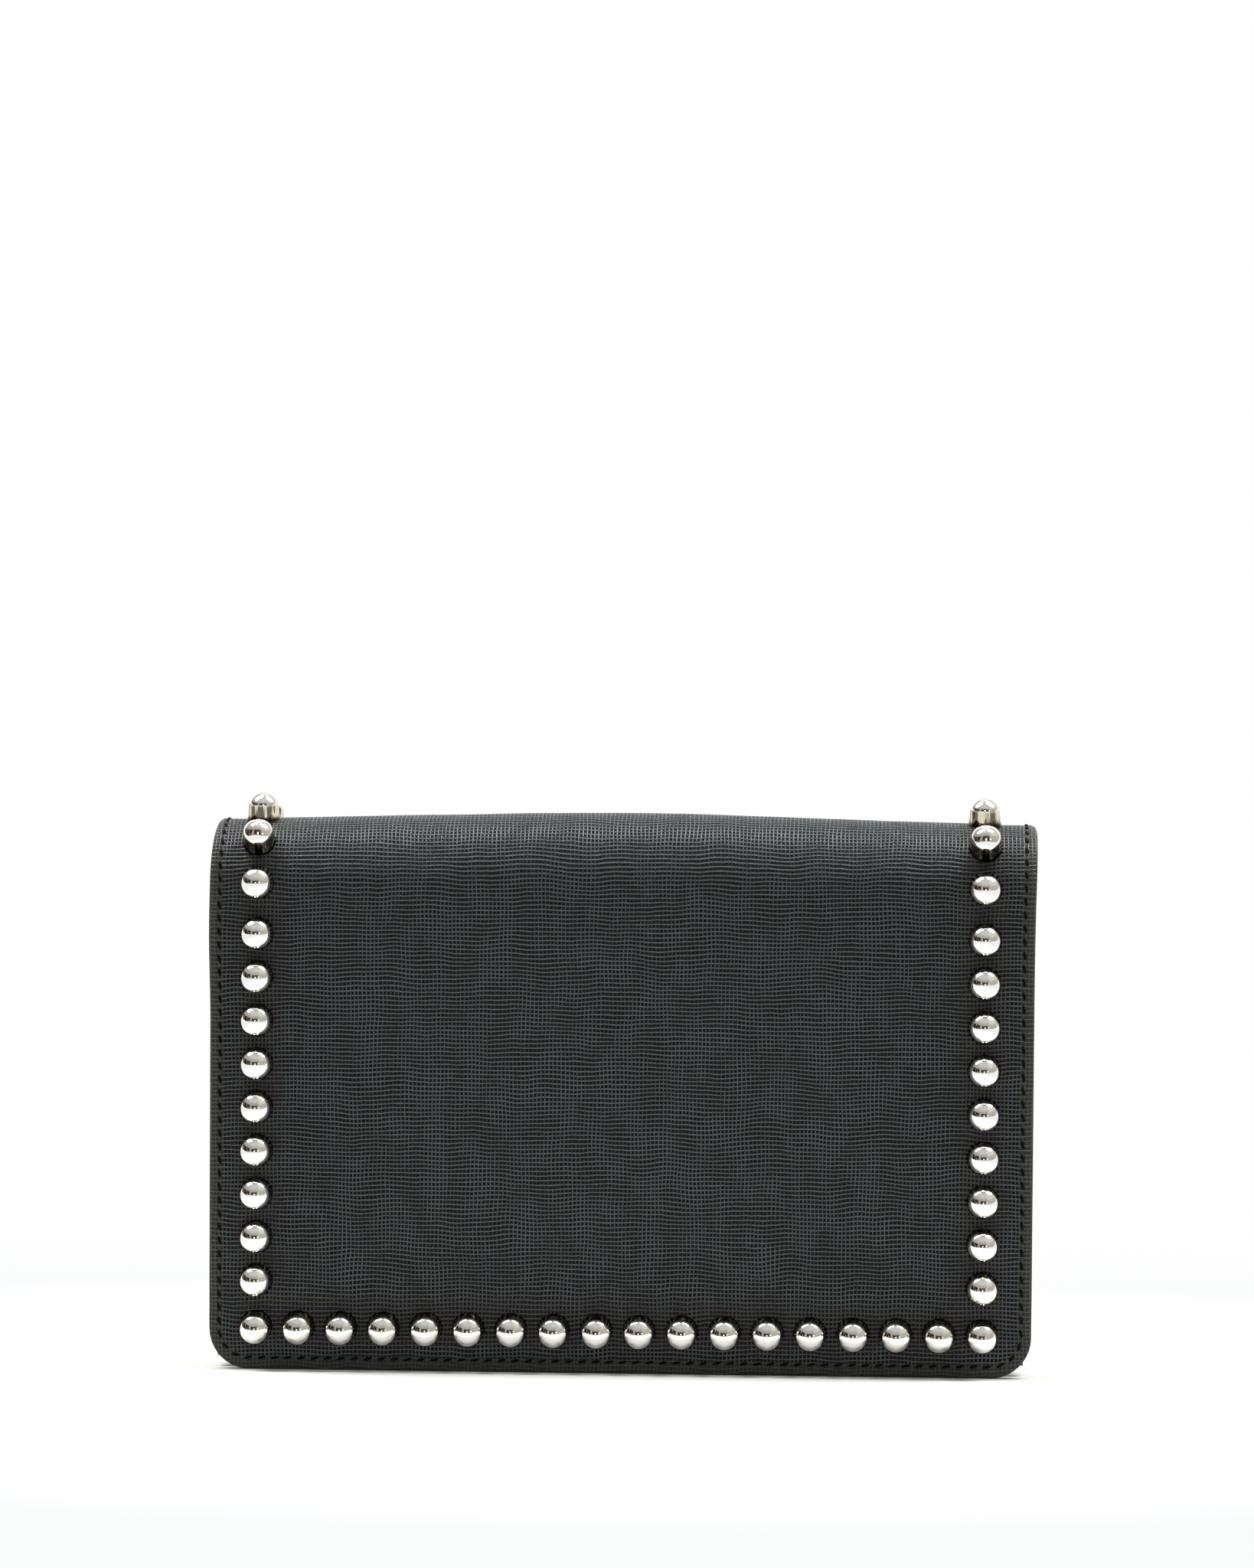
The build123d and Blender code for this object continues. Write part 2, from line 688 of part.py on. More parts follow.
rivet_x = bar_x - tab_length + rivet_inset
with BuildPart() as tab_rivets:
    with BuildSketch(Plane.XY.offset(tape_z + tab_leather)):
        with Locations(*[(side * rivet_x, mouth_y) for _, side in sides]):
            Circle(rivet_radius)
    extrude(amount=rivet_head)
finish(tab_rivets.part, "tab_rivets")

# ---- What the joints need ---------------------------------------------------------------------
for number, travel in enumerate(hinge_travel, start=1):
    print(f"fold hinge {number}: y, z =", place(travel, 0))
print("fold hinge opening, degrees:", (180 + back_lean + front_lean) / len(hinge_travel))
print("front foot: y =", place(height_front(0, front_depth), front_depth)[0])
print("slider, pull pin: x, y, z =", slider_start, mouth_y, pin_z)
print("ring bar: x, y, z =", bar_x, mouth_y, bar_z)
print("roll centre: y, z =", roll_y, roll_z, " roll covers degrees", degrees(lean_b + lean_f) + 180)
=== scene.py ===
"""Looks of a studded flap wallet: leather, stitching, studs, lining, pockets and zip.

Every length is in metres. X runs across the wallet, Y from the back panel to the flap, Z up. Sheet
pieces are cut flat first, with x across, y along the sheet and z outwards, and are then laid on the
line that they follow in the closed wallet.
"""

import json
import random
from collections import namedtuple
from math import atan2, cos, exp, hypot, pi, radians, sin, sqrt, tan

import bmesh
import bpy
from bpy.props import FloatProperty, FloatVectorProperty, IntProperty, PointerProperty
from mathutils import Matrix, Vector, noise


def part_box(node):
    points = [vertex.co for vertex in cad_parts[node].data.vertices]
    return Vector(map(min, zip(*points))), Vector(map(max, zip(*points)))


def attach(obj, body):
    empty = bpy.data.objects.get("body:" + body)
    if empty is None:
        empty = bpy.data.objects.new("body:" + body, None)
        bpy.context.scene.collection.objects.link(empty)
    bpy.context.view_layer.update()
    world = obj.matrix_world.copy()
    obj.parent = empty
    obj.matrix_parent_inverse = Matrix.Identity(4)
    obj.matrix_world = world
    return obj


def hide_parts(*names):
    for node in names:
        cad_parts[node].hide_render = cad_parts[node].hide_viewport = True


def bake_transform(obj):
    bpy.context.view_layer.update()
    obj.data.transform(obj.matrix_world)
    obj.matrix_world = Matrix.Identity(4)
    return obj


bl_info = {
    "name": "Studded flap wallet",
    "version": (1, 0, 0),
    "blender": (4, 5, 0),
    "location": "View3D > Sidebar > Wallet",
    "description": "Leather, stitching, studs, pockets and zip round a chain wallet's CAD frame",
    "category": "Add Mesh",
}

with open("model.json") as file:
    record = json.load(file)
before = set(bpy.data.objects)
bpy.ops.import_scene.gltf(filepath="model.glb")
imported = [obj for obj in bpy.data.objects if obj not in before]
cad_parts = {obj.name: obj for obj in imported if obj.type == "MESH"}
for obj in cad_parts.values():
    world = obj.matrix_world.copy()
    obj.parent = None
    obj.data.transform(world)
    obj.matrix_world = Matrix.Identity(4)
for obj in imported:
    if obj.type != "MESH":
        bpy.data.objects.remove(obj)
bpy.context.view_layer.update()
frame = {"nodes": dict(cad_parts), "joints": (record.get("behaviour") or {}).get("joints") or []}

MM = 0.001
TINY = 1e-7
SIDES = (("left", -1), ("right", 1))
STUDIO_RADIUS, STUDIO_HEIGHT = 3.0, 5.0

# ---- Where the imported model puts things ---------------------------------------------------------
# The wrap: leather over board over lining, its depths counted inwards from the outer surface.
BACK_LEAN = radians(3.5)
FRONT_LEAN = radians(1.5)
LEATHER = 1.4 * MM
BOARD = 0.8 * MM
LINING = 0.8 * MM
STACK = LEATHER + BOARD + LINING
BOARD_INSET = 3.0 * MM  # from the leather's edge to the board's
CORNER = 9.4 * MM
CARD = 0.6 * MM
PANEL_GAP = 0.4 * MM  # between the closed flap's lining and the front panel
PANEL_CORNER = 0.5 * MM  # of the inner sheets, and of the front panel at its foot

# The zipped pocket and its gussets.
POCKET_LEATHER = 0.8 * MM
HALF_MOUTH, HALF_FOOT = 3.0 * MM, 1.6 * MM
GUSSET = 0.7 * MM
SEAT_GAP = 0.25 * MM

# Studs: their lines inside the side edges and hems, and the gaps at both ends of a side's row.
STUD_INSET, HEM_STUD_INSET = 11.4 * MM, 9.9 * MM
CORNER_PITCH, SHOULDER_PITCH = 10.8 * MM, 11.7 * MM
SIDE_GAPS = 8
ROLL_STUDS = 11

hinges = [Vector(j["pos_m"]) for j in frame["joints"] if j["name"].startswith("roll_")]
half_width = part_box("back_leather")[1].x


def circle_through(a, b, c):
    """Centre (y, z) and radius of the circle through three points."""
    (ay, az), (by, bz), (cy, cz) = a.yz, b.yz, c.yz
    turn = 2 * (ay * (bz - cz) + by * (cz - az) + cy * (az - bz))
    a2, b2, c2 = ay * ay + az * az, by * by + bz * bz, cy * cy + cz * cz
    y = (a2 * (bz - cz) + b2 * (cz - az) + c2 * (az - bz)) / turn
    z = (a2 * (cy - by) + b2 * (ay - cy) + c2 * (by - ay)) / turn
    return y, z, hypot(ay - y, az - z)


roll_y, roll_z, roll_radius = circle_through(hinges[0], hinges[1], hinges[3])
back_end = (roll_z - roll_radius * sin(BACK_LEAN)) / cos(BACK_LEAN)
roll_end = back_end + roll_radius * (pi + BACK_LEAN + FRONT_LEAN)


def roll_angle(travel):
    """Angle of the wrap's outward normal, from -Y over +Z, at a travel from the back's foot."""
    return min(max((travel - back_end) / roll_radius - BACK_LEAN, -BACK_LEAN), pi + FRONT_LEAN)


def wrap_line(travel):
    """(y, z) of the wrap's outer surface and (y, z) of its outward normal."""
    angle = roll_angle(travel)
    out_y, out_z = -cos(angle), sin(angle)
    past = min(travel - back_end, 0.0) + max(travel - roll_end, 0.0)
    y = roll_y + roll_radius * out_y + past * out_z
    z = roll_z + roll_radius * out_z - past * out_y
    return y, z, out_y, out_z


def height_front(height, depth):
    """Travel at which the wrap's front, at a depth, passes a height."""
    reach = (roll_radius - depth) * sin(FRONT_LEAN)
    return roll_end + (roll_z - reach - height) / cos(FRONT_LEAN)


hinge_travel = [
    back_end + roll_radius * (atan2(h.z - roll_z, roll_y - h.y) + BACK_LEAN) for h in hinges
]
roll_pitch = (hinge_travel[3] - hinge_travel[0]) / 3
seams = [travel + roll_pitch / 2 for travel in hinge_travel[:3]]
top_stud = hinge_travel[0] - roll_pitch / 2
flap_end = height_front(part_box("flap_leather")[0].z, 0.0)

# A section of the wrap names two bodies and the hinge between them, runs from a low to a high
# travel, and stands for the imported layers of its owners.
Section = namedtuple("Section", "name first second hinge low high owners")
SECTIONS = (
    Section("back", "back", "roll_rear", 0, 0.0, seams[0], ("back",)),
    Section("rear_fold", "roll_rear", "roll_crown", 1, seams[0], seams[1], ("roll_rear",)),
    Section("crown_fold", "roll_crown", "roll_front", 2, seams[1], seams[2], ("roll_crown",)),
    Section("flap", "roll_front", "flap", 3, seams[2], flap_end, ("roll_front", "flap")),
)


# ---- Shared sizes and colours -------------------------------------------------------------------
def length(name, description, default):
    return FloatProperty(
        name=name, description=description, default=default, unit="LENGTH", precision=5
    )


def colour(name, description, default):
    return FloatVectorProperty(
        name=name, description=description, default=default, subtype="COLOR", min=0.0, max=1.0
    )


class WalletSizes(bpy.types.PropertyGroup):
    """Sizes that finish the wallet; the frame gives the rest."""

    stitch_pitch: length("Stitch pitch", "From one stitch to the next", 3.1 * MM)
    stitch_length: length("Stitch length", "Thread that shows between two holes", 2.3 * MM)
    stitch_width: length("Thread width", "Width of the thread", 0.75 * MM)
    side_inset: length("Side seam inset", "From the side edge to the stitches", 2.4 * MM)
    hem_inset: length("Hem seam inset", "From the hem to the stitches", 2.7 * MM)
    edge_round: length("Edge rounding", "Radius of the burnished edges", 0.45 * MM)
    crest_swell: length("Crest swell", "Rise of the rolled top at mid width", 1.6 * MM)
    crest_droop: length("Crest droop", "Fall of the rolled top at its ends", 0.4 * MM)
    roll_skew: length("Roll skew", "Shift of the roll's ends to the right", 0.75 * MM)
    skew_reach: length("Skew reach", "Travel over which the skew fades", 24 * MM)
    side_draw: length("Side draw", "How far the left edge draws in below", 0.5 * MM)
    ripple: length("Ripple", "Height of the gentle waves in the panels", 0.3 * MM)
    stud_radius: length("Stud radius", "Radius of a dome stud", 3.6 * MM)
    stud_height: length("Stud height", "Height of a dome stud", 6.2 * MM)
    hem_lean: FloatProperty(
        name="Hem lean", description="Turn of the hem's studs to the foot", default=radians(5),
        subtype="ANGLE",
    )
    hem_studs: IntProperty(name="Hem studs", description="Studs along a hem", default=18, min=2)


class WalletColours(bpy.types.PropertyGroup):
    """Colours of the finishes."""

    ridge: colour("Leather ridges", "Raised lines of the emboss", (0.043, 0.059, 0.064))
    # The pits' colour is the leather's own black, darkened by painted shade in the hollows.
    pit_shade: colour("Leather pits", "Hollows of the emboss", (0.002, 0.0024, 0.0024))
    edge: colour("Edge paint", "Burnished edges", (0.012, 0.010, 0.009))
    thread: colour("Thread", "Waxed thread", (0.0025, 0.0025, 0.0025))
    lining: colour("Lining", "Smooth lining leather", (0.030, 0.027, 0.025))
    card: colour("Card pockets", "Card pocket leather", (0.036, 0.032, 0.030))
    gusset: colour("Gussets", "Gusset leather", (0.024, 0.022, 0.021))
    pocket: colour("Zipped pocket", "Zipped pocket leather", (0.028, 0.025, 0.024))
    nickel: colour("Nickel", "Polished studs and rings", (0.93, 0.92, 0.89))
    zip_metal: colour("Zip metal", "Teeth, slider and pull", (0.62, 0.60, 0.56))
    steel: colour("Magnets", "Plated magnets", (0.56, 0.57, 0.58))
    board: colour("Board", "Stiffening board", (0.36, 0.29, 0.21))
    tape: colour("Zip tape", "Woven tape of the zip", (0.016, 0.016, 0.017))


# ---- Finishes -----------------------------------------------------------------------------------
class Graph:
    """Shader nodes added to a node tree."""

    def __init__(self, tree):
        self.tree = tree

    def feed(self, socket, value):
        """Links an output to a socket, or sets the socket to a plain value."""
        if isinstance(value, bpy.types.NodeSocket):
            self.tree.links.new(value, socket)
        else:
            socket.default_value = value

    def node(self, kind, settings=(), **inputs):
        """A new node, with its settings and the inputs that are named."""
        node = self.tree.nodes.new("ShaderNode" + kind)
        for key, value in dict(settings).items():
            setattr(node, key, value)
        for key, value in inputs.items():
            self.feed(node.inputs[key.replace("_", " ")], value)
        return node

    def fed(self, node, *values):
        """The node's first output, with its inputs fed in order."""
        for socket, value in zip(node.inputs, values):
            self.feed(socket, value)
        return node.outputs[0]

    def math(self, operation, *values):
        return self.fed(self.node("Math", {"operation": operation}), *values)

    def vector(self, operation, *values):
        return self.fed(self.node("VectorMath", {"operation": operation}), *values)

    def xyz(self, vector):
        return self.node("SeparateXYZ", Vector=vector).outputs

    def object_place(self):
        return self.node("TexCoord").outputs["Object"]

    def sheet(self):
        """Place on the flat sheet, in millimetres."""
        uv = self.node("UVMap", {"uv_map": "Sheet"}).outputs["UV"]
        return self.vector("MULTIPLY", uv, (1000, 1000, 1000))

    def place(self):
        """Place in the wallet, in millimetres."""
        return self.vector("MULTIPLY", self.object_place(), (1000, 1000, 1000))

    def attribute(self, name):
        return self.node("Attribute", {"attribute_name": name}).outputs["Fac"]

    def noise(self, vector, scale, detail=2.0, output="Fac", stretch=None):
        """Noise of a scale, or with its own scale along each axis."""
        if stretch:
            vector = self.vector("MULTIPLY", vector, stretch)
        node = self.node("TexNoise", Vector=vector, Scale=scale, Detail=detail)
        return node.outputs[output]

    def spread(self, value, low, high, to_low=0.0, to_high=1.0):
        """Smooth step of a value from one range to another."""
        node = self.node(
            "MapRange", {"interpolation_type": "SMOOTHSTEP"},
            Value=value, From_Min=low, From_Max=high, To_Min=to_low, To_Max=to_high,
        )
        return node.outputs["Result"]

    def blend(self, share, first, second):
        """Mix of two colours."""
        node = self.node("Mix", {"data_type": "RGBA"})
        self.feed(node.inputs[0], share)
        for socket, value in ((node.inputs[6], first), (node.inputs[7], second)):
            linked = isinstance(value, bpy.types.NodeSocket)
            self.feed(socket, value if linked else rgba(value[:3]))
        return node.outputs[2]

    def sway(self, vector, *waves):
        """The vector moved about by noise, given as (scale, size) pairs."""
        moved = vector
        for scale, size in waves:
            drift = self.noise(vector, scale, 1.0, "Color")
            drift = self.vector("MULTIPLY_ADD", drift, (size,) * 3, (-size / 2,) * 3)
            moved = self.vector("ADD", moved, drift)
        return moved

    def wave(self, value, pitch):
        """Rises from 0 to 1 and falls again once in every pitch."""
        turns = self.math("MULTIPLY", value, 2 * pi / pitch)
        return self.math("MULTIPLY_ADD", self.math("SINE", turns), 0.5, 0.5)

    def seen(self):
        """1 for rays from the camera, from mirrors and through clear parts, and 0 for others."""
        path = self.node("LightPath").outputs
        seen = self.math("MAXIMUM", path["Is Camera Ray"], path["Is Glossy Ray"])
        return self.math("MAXIMUM", seen, path["Is Transmission Ray"])


class Finish(Graph):
    """A procedural material and the nodes in it."""

    def __init__(self, name, **shader):
        self.material = bpy.data.materials.new(name)
        self.material.use_nodes = True
        super().__init__(self.material.node_tree)
        self.shader = self.tree.nodes["Principled BSDF"]
        for key, value in shader.items():
            self.set(key.replace("_", " ").title(), value)

    def set(self, socket, value):
        self.feed(self.shader.inputs[socket], value)

    def bump(self, height, distance):
        normal = self.node("Bump", Height=height, Distance=distance).outputs["Normal"]
        for socket in ("Normal", "Coat Normal"):
            self.set(socket, normal)

    def glow(self, share, tone):
        """Mixes a glow of strength 1 into the surface."""
        light = self.node("Emission", Color=tone, Strength=1.0)
        mix = self.fed(self.node("MixShader"), share, self.shader.outputs[0], light.outputs[0])
        self.feed(self.tree.nodes["Material Output"].inputs["Surface"], mix)


def rgba(values, share=1.0):
    """A colour, brighter or darker by a share, as a socket takes it."""
    return tuple(value * share for value in values) + (1.0,)


def emboss_finish(name, colours):
    """Black leather with a fine wavy cross-hatch, and painted shade in its hollows and along the
    studs.
    """
    f = Finish(name, coat_roughness=0.22, sheen_weight=0.3, sheen_roughness=0.25)
    f.set("Specular IOR Level", 0.12)
    f.set("Sheen Tint", (0.9, 0.98, 1.0, 1))
    sheet = f.sheet()
    rim = f.math("MULTIPLY", f.attribute("rim"), 1000)
    x, s, _ = f.xyz(sheet)
    row_pitch, column_pitch = 1.0, 0.9
    long_waves = f.noise(sheet, 1.0, 1.0, stretch=(0.07, 0.06, 1))
    short_waves = f.noise(sheet, 1.0, 1.0, stretch=(0.35, 0.4, 1))
    along = f.math("MULTIPLY_ADD", long_waves, 2.6, s)
    along = f.math("MULTIPLY_ADD", short_waves, 0.3, along)
    tall_waves = f.noise(sheet, 1.0, 1.0, stretch=(0.07, 0.05, 1))
    across = f.math("MULTIPLY_ADD", tall_waves, 1.8, x)
    across = f.math("MULTIPLY_ADD", short_waves, 0.2, across)
    rows = f.wave(along, row_pitch)
    columns = f.wave(across, column_pitch)
    merge = f.noise(sheet, 1.0, 2.0, stretch=(0.2, 0.1, 1))
    shine = f.math("SMOOTH_MAX", rows, f.math("MULTIPLY", columns, 0.95), 0.06)
    columns = f.math("MULTIPLY", columns, f.spread(merge, 0.36, 0.6, 0.7, 0.93))
    hatch = f.math("SMOOTH_MAX", rows, columns, 0.06)
    grain = f.noise(sheet, 3.0, 3.0)
    fleck = f.math("MULTIPLY", f.math("SUBTRACT", grain, 0.5), 0.3)
    height = f.math("ADD", fleck, hatch)
    shine = f.math("ADD", fleck, shine)
    # Painted shade: a band along the rows of studs, about 4 to 19 mm in from the edge.
    stud_shade_band = f.math("MULTIPLY", f.spread(rim, 4.0, 8.0), f.spread(rim, 15.0, 19.0, 1.0, 0.0))
    edge_band = f.spread(rim, 2.6, 3.8, 1.0, 0.0)
    # Hollows take the pit colour, the leather's black deepened by painted shade; ridges keep the
    # leather's own colour.
    tone = f.blend(f.spread(height, 0.62, 0.98), colours.pit_shade, colours.ridge)
    cloud = f.spread(f.noise(sheet, 0.045, 3.0), 0.35, 0.65)
    tone = f.blend(f.math("MULTIPLY", cloud, 0.1), tone, rgba(colours.pit_shade, 2.0))
    # The band is darkened and warmed as painted shade of the studs.
    stud_shade_tone = (0.018, 0.0135, 0.0095)
    tone = f.blend(f.math("MULTIPLY", stud_shade_band, 0.4), tone, stud_shade_tone)
    tone = f.blend(f.math("MULTIPLY", edge_band, 0.8), tone, (0.034, 0.036, 0.030))
    f.set("Base Color", tone)
    f.set("Coat Weight", f.spread(shine, 0.7, 1.0, 0.02, 0.95))
    worn = f.spread(f.noise(sheet, 1.3, 1.0), 0.64, 0.72, 0.0, 0.2)
    rough = f.spread(height, 0.3, 0.95, 0.7, 0.38)
    f.set("Roughness", f.math("SUBTRACT", rough, worn))
    f.bump(height, 0.28 * MM)
    return f.material


def smooth_leather_finish(name, tone, grain_size=0.35, roughness=0.5):
    """Fine-grained smooth leather with pores, creases and faint clouding."""
    f = Finish(name)
    spot = f.sway(f.place(), (0.12, 0.8))
    edges = {"feature": "DISTANCE_TO_EDGE"}
    cells = f.node("TexVoronoi", edges, Vector=spot, Scale=1 / grain_size)
    pebble = f.spread(cells.outputs["Distance"], 0.0, 0.25)
    cloud = f.noise(f.place(), 0.06, 4.0)
    height = f.math("MULTIPLY_ADD", f.noise(spot, 0.5, 3.0), 0.8, pebble)
    f.set("Base Color", f.blend(f.spread(cloud, 0.35, 0.65), rgba(tone, 0.72), rgba(tone, 1.3)))
    f.set("Roughness", f.spread(pebble, 0.0, 1.0, roughness + 0.14, roughness - 0.05))
    f.bump(height, 0.045 * MM)
    return f.material


def edge_finish(name, tone):
    """Burnished edge paint, a little uneven and rubbed brown."""
    f = Finish(name)
    spot = f.place()
    rub = f.spread(f.noise(spot, 0.16, 2.0), 0.4, 0.65, 0.15, 0.6)
    f.set("Base Color", f.blend(rub, tone, (0.072, 0.034, 0.014)))
    f.set("Roughness", f.spread(f.noise(spot, 2.5, 2.0), 0.3, 0.7, 0.28, 0.5))
    f.bump(f.noise(spot, 1.8, 3.0), 0.06 * MM)
    return f.material


def thread_finish(name, tone):
    """Waxed twisted thread."""
    f = Finish(name)
    f.set("Specular IOR Level", 0.1)
    spot = f.place()
    x, y, z = f.xyz(spot)
    lay = f.math("ADD", f.math("ADD", x, y), z)
    twist = f.wave(lay, 0.32)
    f.set("Base Color", f.blend(twist, rgba(tone, 0.5), rgba(tone, 1.6)))
    f.set("Roughness", f.spread(f.noise(spot, 3.0), 0.3, 0.7, 0.6, 0.85))
    f.bump(twist, 0.05 * MM)
    return f.material


def polished_finish(name, tone, roughness=0.015):
    """Polished plating with faint swirls, a painted reflection of the leather on the walls and
    painted shade at the foot.
    """
    f = Finish(name, metallic=1.0)
    spot = f.place()
    haze = f.spread(f.noise(spot, 0.9, 4.0), 0.35, 0.75)
    rise = f.attribute("rise")
    clean = f.blend(haze, tone, rgba(tone, 0.95))
    streaks = f.noise(spot, 1.0, 2.0, stretch=(0.9, 0.12, 0.12))
    # Painted reflection of the dark leather on the studs' walls: brown, with pale streaks.
    painted_wall_reflection = f.blend(f.spread(streaks, 0.5, 0.6), (0.11, 0.088, 0.064), (0.75, 0.66, 0.50))
    plating_with_reflection = f.blend(f.spread(rise, 0.5, 0.66, 0.95, 0.0), clean, painted_wall_reflection)
    # Painted shade: near black at the foot, a contact shadow round each stud.
    foot = f.spread(rise, 0.04, 0.2, 0.97, 0.0)
    f.set("Base Color", f.blend(foot, plating_with_reflection, (0.012, 0.008, 0.005)))
    f.set("Roughness", f.spread(haze, 0.0, 1.0, roughness, roughness + 0.03))
    f.bump(f.noise(spot, 0.3, 1.0), 0.008 * MM)
    return f.material


def brushed_finish(name, tone, roughness=0.26):
    """Metal with fine brush lines along the wallet's width and random brown patches of dirt."""
    f = Finish(name, metallic=1.0)
    spot = f.place()
    lines = f.noise(spot, 1.0, 3.0, stretch=(0.25, 9.0, 9.0))
    dirt = f.spread(f.noise(spot, 0.7, 4.0), 0.5, 0.8, 0.0, 0.5)
    f.set("Base Color", f.blend(dirt, tone, (0.16, 0.13, 0.10)))
    f.set("Roughness", f.spread(lines, 0.3, 0.7, roughness - 0.08, roughness + 0.12))
    f.bump(lines, 0.01 * MM)
    return f.material


def board_finish(name, tone):
    """Grey-brown pressed board with flecks."""
    f = Finish(name)
    fleck = f.noise(f.place(), 1.0, 4.0, stretch=(0.4, 3.0, 1.6))
    f.set("Base Color", f.blend(f.spread(fleck, 0.3, 0.7), rgba(tone, 0.7), rgba(tone, 1.15)))
    f.set("Roughness", f.spread(fleck, 0.2, 0.8, 0.8, 0.95))
    f.bump(fleck, 0.05 * MM)
    return f.material


def tape_finish(name, tone):
    """Herringbone woven tape."""
    f = Finish(name, sheen_weight=0.3)
    x, y, _ = f.xyz(f.sheet())
    zigzag = f.math("ABSOLUTE", f.math("SINE", f.math("MULTIPLY", y, 3.4)))
    ribs = f.wave(f.math("ADD", x, zigzag), 0.42)
    cross = f.wave(y, 0.36)
    weave = f.math("MAXIMUM", f.math("MULTIPLY", cross, 0.7), ribs)
    f.set("Base Color", f.blend(weave, rgba(tone, 0.4), rgba(tone, 1.7)))
    f.set("Roughness", f.spread(weave, 0.0, 1.0, 0.95, 0.75))
    f.bump(weave, 0.08 * MM)
    return f.material


def finish(name):
    """The material of that name, made the first time it is asked for."""
    made = bpy.data.materials.get(name)
    if made:
        return made
    c = bpy.context.scene.wallet_colours
    make = {
        "embossed_leather": lambda: emboss_finish(name, c),
        "edge_paint": lambda: edge_finish(name, c.edge),
        "thread": lambda: thread_finish(name, c.thread),
        "lining_leather": lambda: smooth_leather_finish(name, c.lining),
        "card_leather": lambda: smooth_leather_finish(name, c.card, 0.3, 0.45),
        "gusset_leather": lambda: smooth_leather_finish(name, c.gusset, 0.4, 0.6),
        "pocket_leather": lambda: smooth_leather_finish(name, c.pocket),
        "polished_nickel": lambda: polished_finish(name, c.nickel),
        "zip_metal": lambda: brushed_finish(name, c.zip_metal),
        "magnet_plating": lambda: brushed_finish(name, c.steel, 0.34),
        "stiffening_board": lambda: board_finish(name, c.board),
        "zip_tape": lambda: tape_finish(name, c.tape),
    }
    return make[name]()


# ---- Small steps on a mesh ----------------------------------------------------------------------
def bevel(bm, parts, size, segments, affect="EDGES", clamp=False):
    """Rounds edges, or the corners of a flat outline."""
    bmesh.ops.bevel(
        bm, geom=parts, offset=size, segments=segments, profile=0.5, affect=affect, material=-1,
        clamp_overlap=clamp,
    )


def pull_out(bm, faces, shift):
    """Extrudes faces, and moves the new ones along Z."""
    made = bmesh.ops.extrude_face_region(bm, geom=faces)["geom"]
    bmesh.ops.translate(bm, vec=(0, 0, shift), verts=of_kind(made, bmesh.types.BMVert))


def of_kind(parts, kind):
    return [part for part in parts if isinstance(part, kind)]


def turn_verts(bm, angle, axis, verts=None):
    """Turns some of the mesh, or all of it, about an axis through the origin."""
    matrix = Matrix.Rotation(angle, 3, axis)
    bmesh.ops.rotate(bm, cent=(0, 0, 0), matrix=matrix, verts=bm.verts if verts is None else verts)


def add_shape(target, shape, at=None, keep=False):
    """Adds a mesh to another, at a place if one is given, and frees it unless it is kept."""
    mesh = bpy.data.meshes.new("added")
    shape.to_mesh(mesh)
    if at is not None:
        mesh.transform(at)
    target.from_mesh(mesh)
    bpy.data.meshes.remove(mesh)
    if not keep:
        shape.free()


def settle(bm, name, materials, crease=40.0):
    """Makes an object of a mesh, with normals outwards and creases sharp."""
    bmesh.ops.recalc_face_normals(bm, faces=bm.faces)
    mesh = bpy.data.meshes.new(name)
    bm.to_mesh(mesh)
    bm.free()
    for material in materials:
        mesh.materials.append(finish(material))
    mesh.shade_smooth()
    mesh.set_sharp_from_angle(angle=radians(crease))
    piece = bpy.data.objects.new(name, mesh)
    bpy.context.scene.collection.objects.link(piece)
    return piece


def settle_thread(bm, name):
    """An object of stitches, smooth all round."""
    return settle(bm, name, ("thread",), 80.0)


def settle_metal(bm, name, metal):
    """An object of metal, with crisp rims."""
    return settle(bm, name, (metal,), 35.0)


def fit(piece, slot, body, *nodes):
    """Gives a rigid piece the nodes that it stands for and the body that it rides on; its slot is
    not used.
    """
    if nodes:
        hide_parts(*nodes)
    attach(piece, body)


# ---- Sheet work ---------------------------------------------------------------------------------
def cut_sheet(half, low, high, near, far, corners=(), seams=(), rounds=(0.0, 0.0)):
    """A flat sheet between two depths: corners are the ends with round corners, seams the ends
    that another sheet carries on, and rounds the radii of the near and far edges."""
    bm = bmesh.new()
    bmesh.ops.create_grid(bm, x_segments=1, y_segments=1, size=0.5)
    bmesh.ops.scale(bm, vec=(2 * half, high - low, 1), verts=bm.verts)
    bmesh.ops.translate(bm, vec=(0, (low + high) / 2, -near), verts=bm.verts)
    for end in corners:
        tips = [v for v in bm.verts if abs(v.co.y - end) < TINY]
        bevel(bm, tips, CORNER, 10, "VERTICES")
    pull_out(bm, bm.faces[:], near - far)
    bmesh.ops.recalc_face_normals(bm, faces=bm.faces)
    for depth, size in zip((near, far), rounds):
        if size:
            bevel(bm, [e for e in bm.edges if on_rim(e, depth, seams)], size, 3)
    return bm


def on_rim(edge, depth, seams):
    """True for an edge of the sheet at that depth, other than one at a seam."""
    a, b = (v.co for v in edge.verts)
    if abs(a.z + depth) > TINY or abs(b.z + depth) > TINY:
        return False
    return not any(abs(a.y - end) < TINY and abs(b.y - end) < TINY for end in seams)


